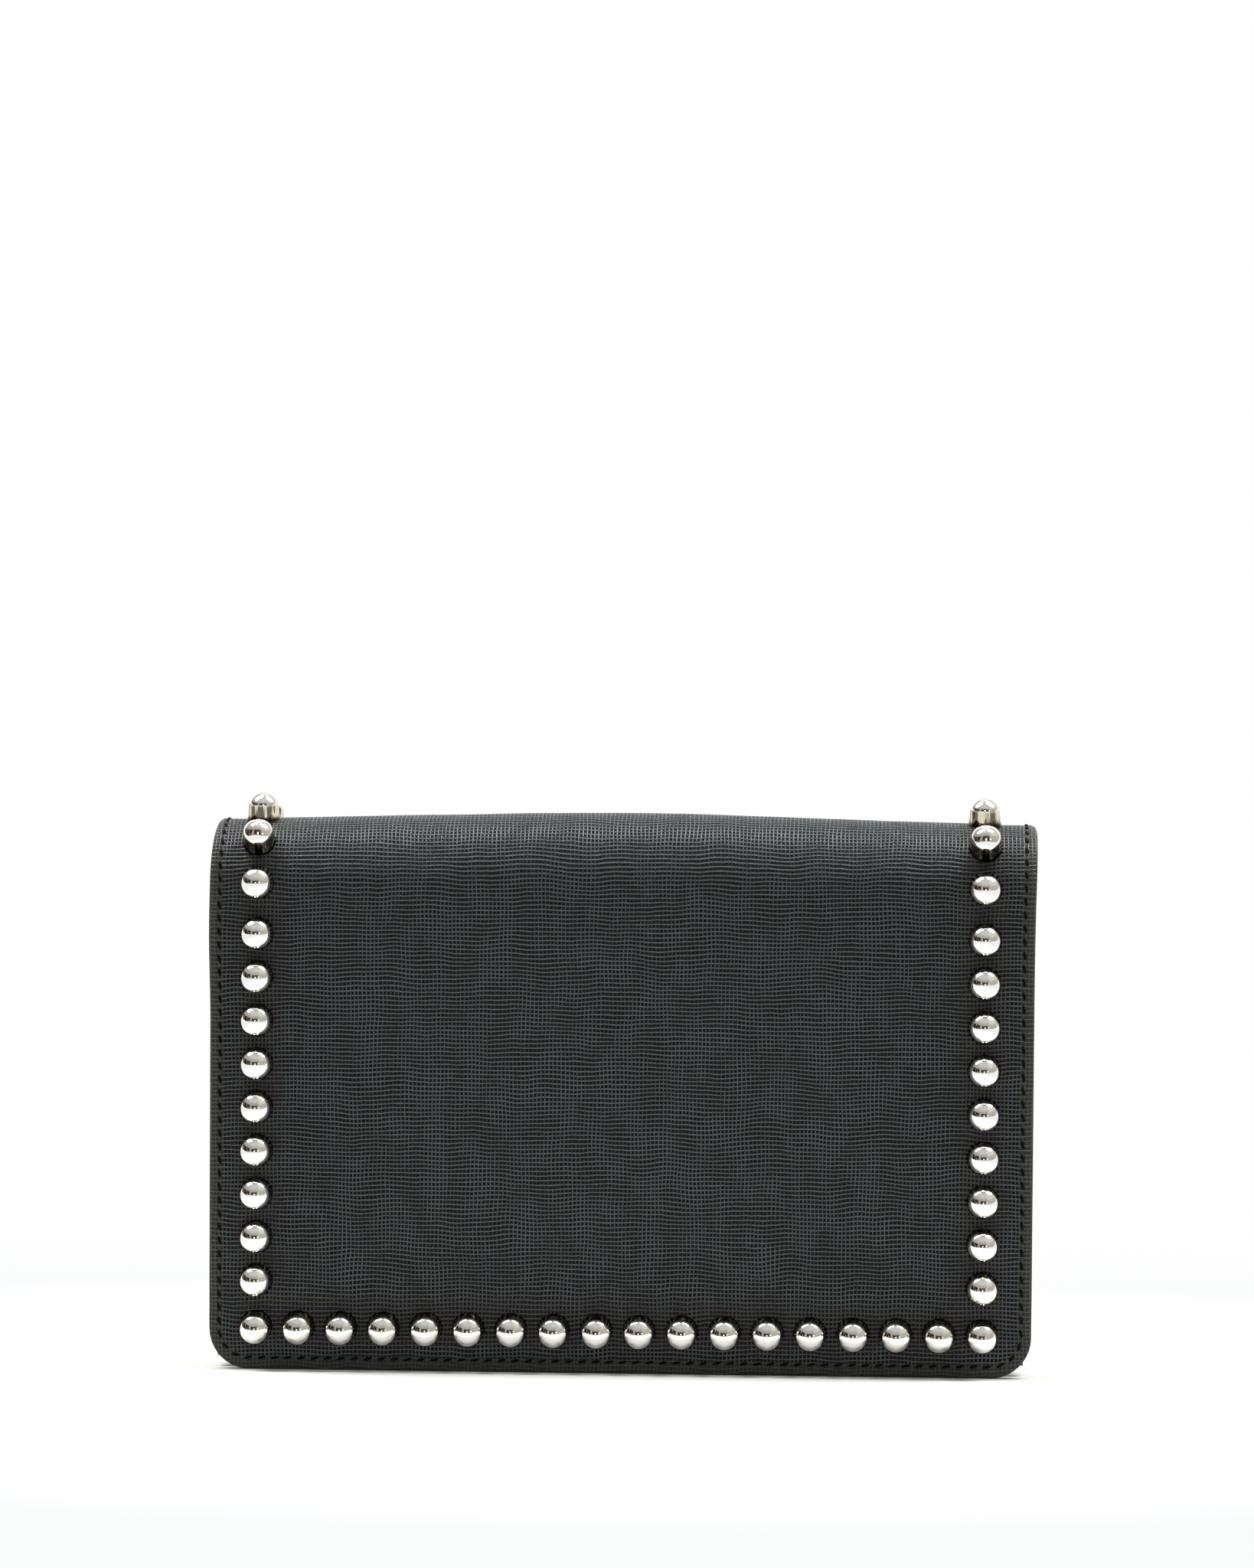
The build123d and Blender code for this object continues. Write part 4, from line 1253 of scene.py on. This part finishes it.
class WALLET_OT_gussets(bpy.types.Operator):
    """Four gussets, each a strip folded inwards between a panel and the zipped pocket"""

    bl_idname = "wallet.gussets"
    bl_label = "Gussets"
    bl_options = {"REGISTER", "UNDO"}

    def execute(self, context):
        for panel, face_y, pocket_side in (("back", back_face_y, -1), ("front", front_face_y, 1)):
            for side_name, side in SIDES:
                self.make_gusset(panel, face_y, pocket_side, side_name, side)
        return {"FINISHED"}

    def make_gusset(self, panel, face_y, pocket_side, side_name, side):
        """A gusset that is sewn to a panel's face and to the pocket, and folds in at mid width."""
        node = f"gusset_{side_name}_{panel}"
        foot, top = (corner.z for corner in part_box(node))

        def sewn_edges(height):
            """Y of the gusset's edge on the panel and of its edge on the pocket."""
            panel_y = face_y(height) - pocket_side * SEAT_GAP
            return panel_y, middle_y(height) + pocket_side * (pocket_reach(height) + SEAT_GAP)

        mouth_depth = 10 * MM  # of the fold, at the mouth
        mouth_run = abs(sewn_edges(top)[1] - sewn_edges(top)[0])
        leg = hypot(mouth_depth, mouth_run / 2)
        soft = 0.07  # roundness of the fold

        bm = bmesh.new()
        bmesh.ops.create_grid(bm, x_segments=24, y_segments=26, size=0.5)
        bmesh.ops.solidify(bm, geom=bm.faces[:], thickness=1.0)
        bmesh.ops.recalc_face_normals(bm, faces=bm.faces)
        uv = bm.loops.layers.uv.new("Sheet")
        for face in bm.faces:
            for loop in face.loops:
                loop[uv].uv = (loop.vert.co.x * 2 * leg, loop.vert.co.y * (top - foot))
        for v in bm.verts:
            share, along, inner = v.co.x, v.co.y + 0.5, -v.co.z
            height = foot + (top - foot) * along
            panel_y, pocket_y = sewn_edges(height)
            run = pocket_y - panel_y
            deep = mouth_depth * abs(run) / mouth_run
            fold = sqrt(4 * share * share + soft * soft)
            bend = (fold - soft) / (sqrt(1 + soft * soft) - soft)
            way = Vector((deep * 4 * share / fold, run)).normalized()
            if run < 0:
                way.x = -way.x
            x = pocket_half - deep * (1 - bend) + abs(way.y) * GUSSET * inner
            y = panel_y + run * (share + 0.5) - way.x * GUSSET * inner
            v.co = (side * min(x, pocket_half + 0.02 * MM), y, height)
        piece = settle(bm, f"bellows_{side_name}_{panel}", ("gusset_leather",), 50.0)
        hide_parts(node)
        middle = (foot + top) / 2
        on_panel, on_pocket = (Vector((0, y, middle)) for y in sewn_edges(middle))
        if panel == "back":
            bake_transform(piece)
        else:
            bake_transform(piece)


class WALLET_OT_zip(bpy.types.Operator):
    """Zip along the pocket's mouth: tapes, teeth, stops, slider and pull"""

    bl_idname = "wallet.zip"
    bl_label = "Zip"
    bl_options = {"REGISTER", "UNDO"}

    def execute(self, context):
        stops_low, stops_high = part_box("zip_stops")
        low, high = stops_low.z, stops_high.z
        bead_out, stop_long = stops_high.y - mouth_y, 1.6 * MM
        zip_half = stops_high.x - stop_long
        for name, side in (("back", -1), ("front", 1)):
            self.make_tape(name, side, bead_out, context.scene.wallet_sizes.stitch_pitch)
            self.make_teeth(name, side, bead_out, zip_half, low, high)
        bm = bmesh.new()
        for _, side in SIDES:
            stop = rectangle(stop_long, 2 * bead_out)
            at = Matrix.Translation((side * (zip_half + stop_long / 2), mouth_y, 0))
            add_shape(bm, plate_shape(stop, low, high, 0.25 * MM, 0.3 * MM), at)
        fit(settle_metal(bm, "zip_end_stops", "zip_metal"), "zip_metal", "pocket", "zip_stops")
        self.make_slider(high)
        self.make_pull()
        return {"FINISHED"}

    def make_tape(self, name, side, bead_out, pitch):
        """Tape from the bead outwards over the pocket's wall, and the seam that holds it."""
        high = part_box("zip_tape_front")[1]
        half, overhang, thick = high.x, high.y - mouth_y, 0.5 * MM

        def tape_line(s):
            return mouth_y + side * s, high.z, 0.0, 1.0

        bm = cut_sheet(half, bead_out, overhang, 0.0, thick, rounds=(0.12 * MM, 0.05 * MM))
        slice_sheet(bm, 0, steps(-half, half, 6 * MM))
        mark_sheet(bm)
        lay_sheet(bm, tape_line)
        piece = settle(bm, f"zip_band_{name}", ("zip_tape",))
        fit(piece, "zip_tape", "pocket", f"zip_tape_{name}")
        reach, seam = half - 17 * MM, overhang - 0.6 * MM
        spots = straight_spots(-reach, seam, reach, seam, pitch)
        bm = sew(spots, 0.0, tape_line, rise=0.02 * MM, slant=0.0)
        fit(settle_thread(bm, f"zip_stitches_{name}"), "zip_tape", "pocket")

    def make_teeth(self, name, side, bead_out, zip_half, low, high):
        """Row of teeth on its bead. Each tooth is a clamp over the bead, and a head that reaches
        past the zip's middle between two heads of the other row."""
        pitch, bead_in, bead_radius = 3.0 * MM, 0.9 * MM, 0.3 * MM
        head, waist, root = 0.65 * MM, 0.36 * MM, 0.45 * MM
        neck, cheek, tip = 0.55 * MM, 0.09 * MM, -0.45 * MM
        half_tooth = [
            (root, bead_out), (root, bead_in), (waist, neck), (head, cheek), (root, tip),
        ]
        outline = [(-x, y) for x, y in half_tooth] + half_tooth[::-1]
        tooth = plate_shape([(x, side * y) for x, y in outline][::side], low, high, 0.14 * MM)
        first = -zip_half + pitch * (2 + side) / 4
        bm = bmesh.new()
        for number in range(int(2 * zip_half / pitch)):
            at = Matrix.Translation((first + number * pitch, mouth_y, 0))
            add_shape(bm, tooth, at, keep=True)
        tooth.free()
        bead_y = (bead_in + bead_out) / 2 * side + mouth_y
        add_shape(bm, straight_bead(zip_half, bead_y, (low + high) / 2, bead_radius))
        piece = settle_metal(bm, f"zip_row_{name}", "zip_metal")
        fit(piece, "zip_metal", "pocket", f"zip_teeth_{name}")

    def make_slider(self, tooth_high):
        """Slider: a plate over the teeth, a cheek each side, and two ears with the pull's pin."""
        low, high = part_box("zip_slider")
        tape_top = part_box("zip_tape_front")[1].z
        half_long, half_wide = (high.x - low.x) / 2, (high.y - low.y) / 2
        at = Matrix.Translation(((low.x + high.x) / 2, mouth_y, 0))
        plate_low, plate_high = tooth_high + 0.2 * MM, tooth_high + 0.9 * MM
        tail, shoulder = 0.72 * half_wide, 0.2 * half_long
        outline = [
            (-half_long, -tail), (shoulder, -half_wide), (half_long, -half_wide),
            (half_long, half_wide), (shoulder, half_wide), (-half_long, tail),
        ]
        bm = bmesh.new()
        add_shape(bm, plate_shape(outline, plate_low, plate_high, 0.2 * MM, 0.7 * MM), at)
        cheek_long, cheek_wide = 0.8 * half_long, 0.8 * MM
        cheek_low, cheek_high = tape_top + 0.2 * MM, plate_low + 0.3 * MM
        for _, side in SIDES:
            outline = rectangle(cheek_long, cheek_wide)
            cheek = plate_shape(outline, cheek_low, cheek_high, 0.12 * MM)
            place = (half_long - cheek_long / 2, side * (half_wide - cheek_wide / 2), 0)
            add_shape(bm, cheek, at @ Matrix.Translation(place))
            outline = rectangle(1.8 * MM, 0.7 * MM)
            ear = plate_shape(outline, plate_high - 0.1 * MM, high.z, 0.15 * MM, 0.1 * MM)
            add_shape(bm, ear, at @ Matrix.Translation((0, side * 1.2 * MM, 0)))
        half_pin = [(0.0, 1.6), (0.4, 1.6), (0.45, 1.5)]
        profile = half_pin + [(radius, -height) for radius, height in half_pin[::-1]]
        pin = turn_shape([(radius * MM, height * MM) for radius, height in profile], 16)
        lie = Matrix.Translation(joint_place("pull_tilt")) @ Matrix.Rotation(pi / 2, 4, "X")
        add_shape(bm, pin, lie)
        fit(settle_metal(bm, "slider_body", "zip_metal"), "zip_metal", "slider", "zip_slider")

    def make_pull(self):
        """Pull: a blade that widens from its neck, and the eye that turns on the pin."""
        low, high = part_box("zip_pull")
        pin = joint_place("pull_tilt")
        reach, half_wide = high.x - pin.x, (high.y - low.y) / 2
        neck, eye, bore = 0.75 * MM, 1.05 * MM, 0.55 * MM
        half_blade = [
            (0.8 * MM, neck), (eye + 2.2 * MM, neck), (eye + 4 * MM, half_wide), (reach, half_wide),
        ]
        outline = [(x, -y) for x, y in half_blade] + half_blade[::-1]
        bm = bmesh.new()
        blade = plate_shape(outline, -0.5 * MM, 0.5 * MM, 0.2 * MM, 0.9 * MM)
        add_shape(bm, blade, Matrix.Translation(pin))
        ring = bmesh.new()
        section = ((bore, -neck), (bore, neck), (eye, neck), (eye, -neck))
        ring.faces.new([ring.verts.new((x, y, 0)) for x, y in section])
        bevel(ring, ring.verts[:], 0.15 * (eye - bore), 2, "VERTICES")
        band = ring.faces[:]
        spin(ring, band, (0, 0, 0), (0, 1, 0), 2 * pi, 24, True)
        bmesh.ops.remove_doubles(ring, verts=ring.verts, dist=TINY)
        bmesh.ops.delete(ring, geom=[f for f in ring.faces if f in band], context="FACES_ONLY")
        add_shape(bm, ring, Matrix.Translation(pin))
        fit(settle_metal(bm, "pull_tab", "zip_metal"), "zip_metal", "pull", "zip_pull")


def joint_place(name):
    """Where a joint of the frame turns."""
    return Vector(next(j for j in frame["joints"] if j["name"] == name)["pos_m"])


def straight_bead(half, y, z, radius):
    """A straight bead along X."""
    bm = bmesh.new()
    bmesh.ops.create_cone(
        bm, cap_ends=True, segments=10, radius1=radius, radius2=radius, depth=2 * half
    )
    turn_verts(bm, pi / 2, "Y")
    bmesh.ops.translate(bm, vec=(0, y, z), verts=bm.verts)
    return bm


class WALLET_OT_chain_rings(bpy.types.Operator):
    """Wire rings for a chain, held by leather tabs on the zipped pocket"""

    bl_idname = "wallet.chain_rings"
    bl_label = "Chain rings"
    bl_options = {"REGISTER", "UNDO"}

    def execute(self, context):
        for name, side in SIDES:
            bar = joint_place(f"ring_{name}_lift")
            self.make_ring(name, side, bar)
            self.make_tab(name, side, bar)
        low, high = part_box("tab_rivets")
        radius, tall = (high.y - low.y) / 2, high.z - low.z
        profile = [(0, 1), (0.45, 0.95), (0.8, 0.7), (1, 0.3), (1, 0), (0, 0)]
        head = turn_shape([(r * radius, h * tall) for r, h in profile], 24, tall)
        bm = bmesh.new()
        for _, side in SIDES:
            at = Matrix.Translation((side * (high.x - radius), mouth_y, low.z))
            add_shape(bm, head, at, keep=True)
        head.free()
        piece = settle_metal(bm, "rivet_heads", "polished_nickel")
        fit(piece, "ring_metal", "pocket", "tab_rivets")
        return {"FINISHED"}

    def make_ring(self, name, side, bar):
        """D-shaped wire ring, from its bar along the leather round to the bar again."""
        wire, opening, arm, bend = 0.9 * MM, 4.0 * MM, 3.0 * MM, 1.5 * MM
        centre = opening + wire

        def at(x, y):
            return bar + Vector((side * x, y, 0))

        up = Vector((0, 0, side))
        moves = [
            Vector((0, centre - bend, 0)),
            (at(bend, centre - bend), up, -pi / 2, 6),
            Vector((side * (arm - bend), 0, 0)),
            (at(arm, 0), up, -pi, 20),
            Vector((side * (bend - arm), 0, 0)),
            (at(bend, bend - centre), up, -pi / 2, 6),
            Vector((0, centre - bend, 0)),
        ]
        bm = sweep_wire(at(0, 0), (0, 1, 0), wire, moves)
        piece = settle(bm, f"wire_ring_{name}", ("polished_nickel",), 60.0)
        # Rise 1 all over keeps the painted reflection and shade of the polished finish off the ring.
        layer = piece.data.attributes.new("rise", "FLOAT", "POINT")
        layer.data.foreach_set("value", [1.0] * len(piece.data.vertices))
        fit(piece, "ring_metal", f"ring_{name}", f"chain_ring_{name}")

    def make_tab(self, name, side, bar):
        """Leather tab that comes flat from the pocket and loops round the ring's bar."""
        thick, bore = 1.0 * MM, 1.05 * MM
        outer = bore + thick
        low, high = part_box(f"ring_tab_{name}")
        half, tail = (high.y - low.y) / 2, high.x - low.x - outer
        whole = tail + outer * radians(248)

        def strap_line(s):
            """Flat under the bar, then round it until it meets the flat again."""
            if s <= tail:
                return tail - s, -outer, 0.0, -1.0
            angle = (s - tail) / outer
            return -outer * sin(angle), -outer * cos(angle), -sin(angle), -cos(angle)

        bm = cut_sheet(half, 0.0, whole, 0.0, thick, rounds=(0.2 * MM, 0.2 * MM))
        slice_sheet(bm, 1, steps(0.0, tail, 2.5 * MM) + steps(tail, whole, 0.4 * MM))
        mark_sheet(bm)
        paint_edges(bm)
        for v in bm.verts:
            across, s, rise = v.co
            run, height, out_run, out_height = strap_line(s)
            run, height = run + out_run * rise, height + out_height * rise
            v.co = (bar.x - side * run, bar.y + across, bar.z + height)
        piece = settle(bm, f"strap_{name}", ("lining_leather", "edge_paint"))
        fit(piece, "wrap_leather", "pocket", f"ring_tab_{name}")


class WALLET_OT_boards(bpy.types.Operator):
    """Finishes of the stiffening boards and magnets inside the leather"""

    bl_idname = "wallet.boards"
    bl_label = "Boards and magnets"
    bl_options = {"REGISTER", "UNDO"}

    def execute(self, context):
        boards = ("back_stiffener", "flap_stiffener", "front_stiffener")
        for name in (*boards, "flap_magnet", "front_magnet"):
            materials = frame["nodes"][name].data.materials
            materials.clear()
            materials.append(finish("stiffening_board" if name in boards else "magnet_plating"))
        return {"FINISHED"}


class WALLET_OT_stage(bpy.types.Operator):
    """White floor, studio walls seen in the metal, lamps and camera"""

    bl_idname = "wallet.stage"
    bl_label = "Stage"
    bl_options = {"REGISTER", "UNDO"}

    def execute(self, context):
        scene = context.scene
        scene.view_settings.view_transform = "Standard"
        self.make_floor()
        self.make_wall()
        self.make_world(scene)
        self.make_lamps()
        self.make_camera(scene)
        return {"FINISHED"}

    def make_floor(self):
        """Floor that reads white, and keeps the wallet's shadow close round it."""
        bm = bmesh.new()
        bmesh.ops.create_grid(bm, x_segments=1, y_segments=1, size=STUDIO_RADIUS + 0.1)
        f = Finish("white_floor", roughness=0.8, base_color=(0.79, 0.77, 0.73, 1))
        spot = f.object_place()
        away = f.node("VectorMath", {"operation": "LENGTH"}, Vector=spot).outputs["Value"]
        behind = f.spread(f.xyz(spot)["Y"], 0.15, 0.5)
        paper = f.blend(behind, (0.955, 0.97, 0.965), (1.0, 1.0, 1.0))
        f.glow(f.math("MULTIPLY", f.seen(), f.spread(away, 0.09, 0.3, 0.04, 1.0)), paper)
        self.set_up(bm, "floor", f.material)

    def make_wall(self):
        """A studio round the set, seen only in polished surfaces: white sweep behind and along
        the foot of the sides, grey above, a brighter right side and dim clutter at the left."""
        bm = bmesh.new()
        bmesh.ops.create_circle(bm, segments=64, radius=STUDIO_RADIUS)
        made = bmesh.ops.extrude_edge_only(bm, edges=bm.edges[:])["geom"]
        fresh = of_kind(made, bmesh.types.BMVert)
        bmesh.ops.translate(bm, vec=(0, 0, STUDIO_HEIGHT), verts=fresh)
        top = [e for e in bm.edges if all(v in fresh for v in e.verts)]
        bmesh.ops.contextual_create(bm, geom=top)
        f = Finish("studio_grey", roughness=1.0, base_color=(0, 0, 0, 1))
        spot = f.object_place()
        x, y, z = f.xyz(spot)
        sweep = f.math("MAXIMUM", f.math("MULTIPLY_ADD", y, 0.667, 1.0), 0.0)
        edge = f.math("MULTIPLY", f.math("POWER", sweep, 1.9), 0.42)
        aside = f.math("ABSOLUTE", x)
        behind = f.math("MULTIPLY", f.spread(y, 0.0, 1.0), f.spread(aside, 1.3, 1.6, 6.0, 0.0))
        edge = f.math("ADD", edge, behind)
        white = f.spread(f.math("SUBTRACT", z, edge), -0.05, 0.05, 1.0, 0.0)
        grey = f.blend(f.spread(z, 2.2, 4.2), (0.42, 0.41, 0.38), (0.60, 0.60, 0.60))
        grey = f.blend(f.spread(x, 1.2, 2.8, 0.0, 0.6), grey, (0.90, 0.86, 0.76))
        marks = f.noise(spot, 1.0, 2.0, stretch=(2.4, 2.4, 0.5))
        left = f.spread(x, -1.9, -2.2)
        middle = f.math("MULTIPLY", f.spread(x, -1.6, -1.4), f.spread(x, 1.1, 1.4, 1.0, 0.35))
        clutter = f.math("MULTIPLY", f.math("MAXIMUM", left, middle), f.spread(marks, 0.34, 0.4))
        heart = f.math("MULTIPLY", f.spread(x, -0.9, -0.7), f.spread(x, 0.7, 1.0, 0.95, 0.0))
        clutter = f.math("MAXIMUM", clutter, heart)
        clutter = f.math("MULTIPLY", clutter, f.spread(z, 1.3, 2.0, 1.0, 0.0))
        dim = f.blend(f.spread(marks, 0.5, 0.62), (0.012, 0.008, 0.005), (0.20, 0.13, 0.07))
        grey = f.blend(clutter, grey, dim)
        f.glow(1.0, f.blend(white, grey, (1.0, 1.0, 1.0)))
        wall = self.set_up(bm, "studio_wall", f.material)
        wall.visible_camera = wall.visible_diffuse = wall.visible_shadow = False
        wall.visible_transmission = wall.visible_volume_scatter = False

    def set_up(self, bm, name, material):
        """Makes a part of the stage, which isn't part of the wallet."""
        mesh = bpy.data.meshes.new(name)
        bm.to_mesh(mesh)
        bm.free()
        mesh.materials.append(material)
        piece = bpy.data.objects.new(name, mesh)
        bpy.context.scene.collection.objects.link(piece)
        return piece

    def make_world(self, scene):
        """Pale light all round, which is white where it is seen."""
        scene.world = bpy.data.worlds.new("studio_air")
        scene.world.use_nodes = True
        g = Graph(scene.world.node_tree)
        plain = g.tree.nodes["Background"]
        g.fed(plain, (0.92, 0.97, 1.0, 1), 0.4)
        white = g.fed(g.node("Background"), (1, 1, 1, 1), 1.0)
        air = g.fed(g.node("MixShader"), g.seen(), plain.outputs[0], white)
        g.feed(g.tree.nodes["World Output"].inputs["Surface"], air)

    def make_lamps(self):
        """Two softboxes above the sides, and two small lamps in front."""
        for name, place, wide, tall, power in (
            ("softbox_left", (-0.56, 0.02, 1.2), 0.4, 0.8, 18.0),
            ("softbox_right", (0.56, 0.02, 1.2), 0.4, 0.8, 18.0),
            ("lamp_centre", (0.03, -1.75, 0.3), 0.4, 0.4, 0.65),
            ("lamp_side", (1.0, -1.4, 0.36), 0.22, 0.22, 0.3),
        ):
            lamp = bpy.data.lights.new(name, "AREA")
            lamp.shape = "RECTANGLE" if wide != tall else "DISK"
            lamp.size, lamp.size_y = wide, tall
            lamp.energy = power
            piece = bpy.data.objects.new(name, lamp)
            bpy.context.scene.collection.objects.link(piece)
            aim = Vector((0, 0, 0.06)) - Vector(place)
            turn = aim.to_track_quat("-Z", "Y").to_matrix().to_4x4()
            piece.matrix_world = Matrix.Translation(place) @ turn

    def make_camera(self, scene):
        """Long lens in front of the back panel, turned and rolled a little."""
        place = (0.05022, -1.1285, 0.1085)
        yaw, pitch, roll = radians(-2.514), radians(1.395), radians(0.532)
        forward = Vector((sin(yaw) * cos(pitch), cos(yaw) * cos(pitch), sin(pitch)))
        right = Vector((cos(yaw), -sin(yaw), 0))
        up = right.cross(forward)
        right, up = cos(roll) * right + sin(roll) * up, cos(roll) * up - sin(roll) * right
        lens = bpy.data.cameras.new("camera")
        lens.lens, lens.sensor_width = 111.66, 36.0
        camera = bpy.data.objects.new("camera", lens)
        scene.collection.objects.link(camera)
        turn = Matrix((right, up, -forward)).transposed().to_4x4()
        camera.matrix_world = Matrix.Translation(place) @ turn
        scene.camera = camera


OPERATORS = (
    WALLET_OT_leather,
    WALLET_OT_lining,
    WALLET_OT_stitching,
    WALLET_OT_studs,
    WALLET_OT_card_pockets,
    WALLET_OT_front_panel,
    WALLET_OT_zip_pocket,
    WALLET_OT_gussets,
    WALLET_OT_zip,
    WALLET_OT_chain_rings,
    WALLET_OT_boards,
    WALLET_OT_stage,
)


class WALLET_PT_panel(bpy.types.Panel):
    """Sidebar panel that lists the wallet's operators"""

    bl_idname = "WALLET_PT_panel"
    bl_label = "Studded flap wallet"
    bl_space_type = "VIEW_3D"
    bl_region_type = "UI"
    bl_category = "Wallet"

    def draw(self, context):
        for operator in OPERATORS:
            self.layout.operator(operator.bl_idname)
        for group in (context.scene.wallet_sizes, context.scene.wallet_colours):
            box = self.layout.box()
            for name in group.__annotations__:
                box.prop(group, name)


CLASSES = (WalletSizes, WalletColours, *OPERATORS, WALLET_PT_panel)


def register():
    for cls in CLASSES:
        bpy.utils.register_class(cls)
    bpy.types.Scene.wallet_sizes = PointerProperty(type=WalletSizes)
    bpy.types.Scene.wallet_colours = PointerProperty(type=WalletColours)


def unregister():
    del bpy.types.Scene.wallet_colours
    del bpy.types.Scene.wallet_sizes
    for cls in reversed(CLASSES):
        bpy.utils.unregister_class(cls)


def main():
    register()
    for operator in OPERATORS:
        group, name = operator.bl_idname.split(".")
        getattr(getattr(bpy.ops, group), name)()


if __name__ == "__main__":
    main()
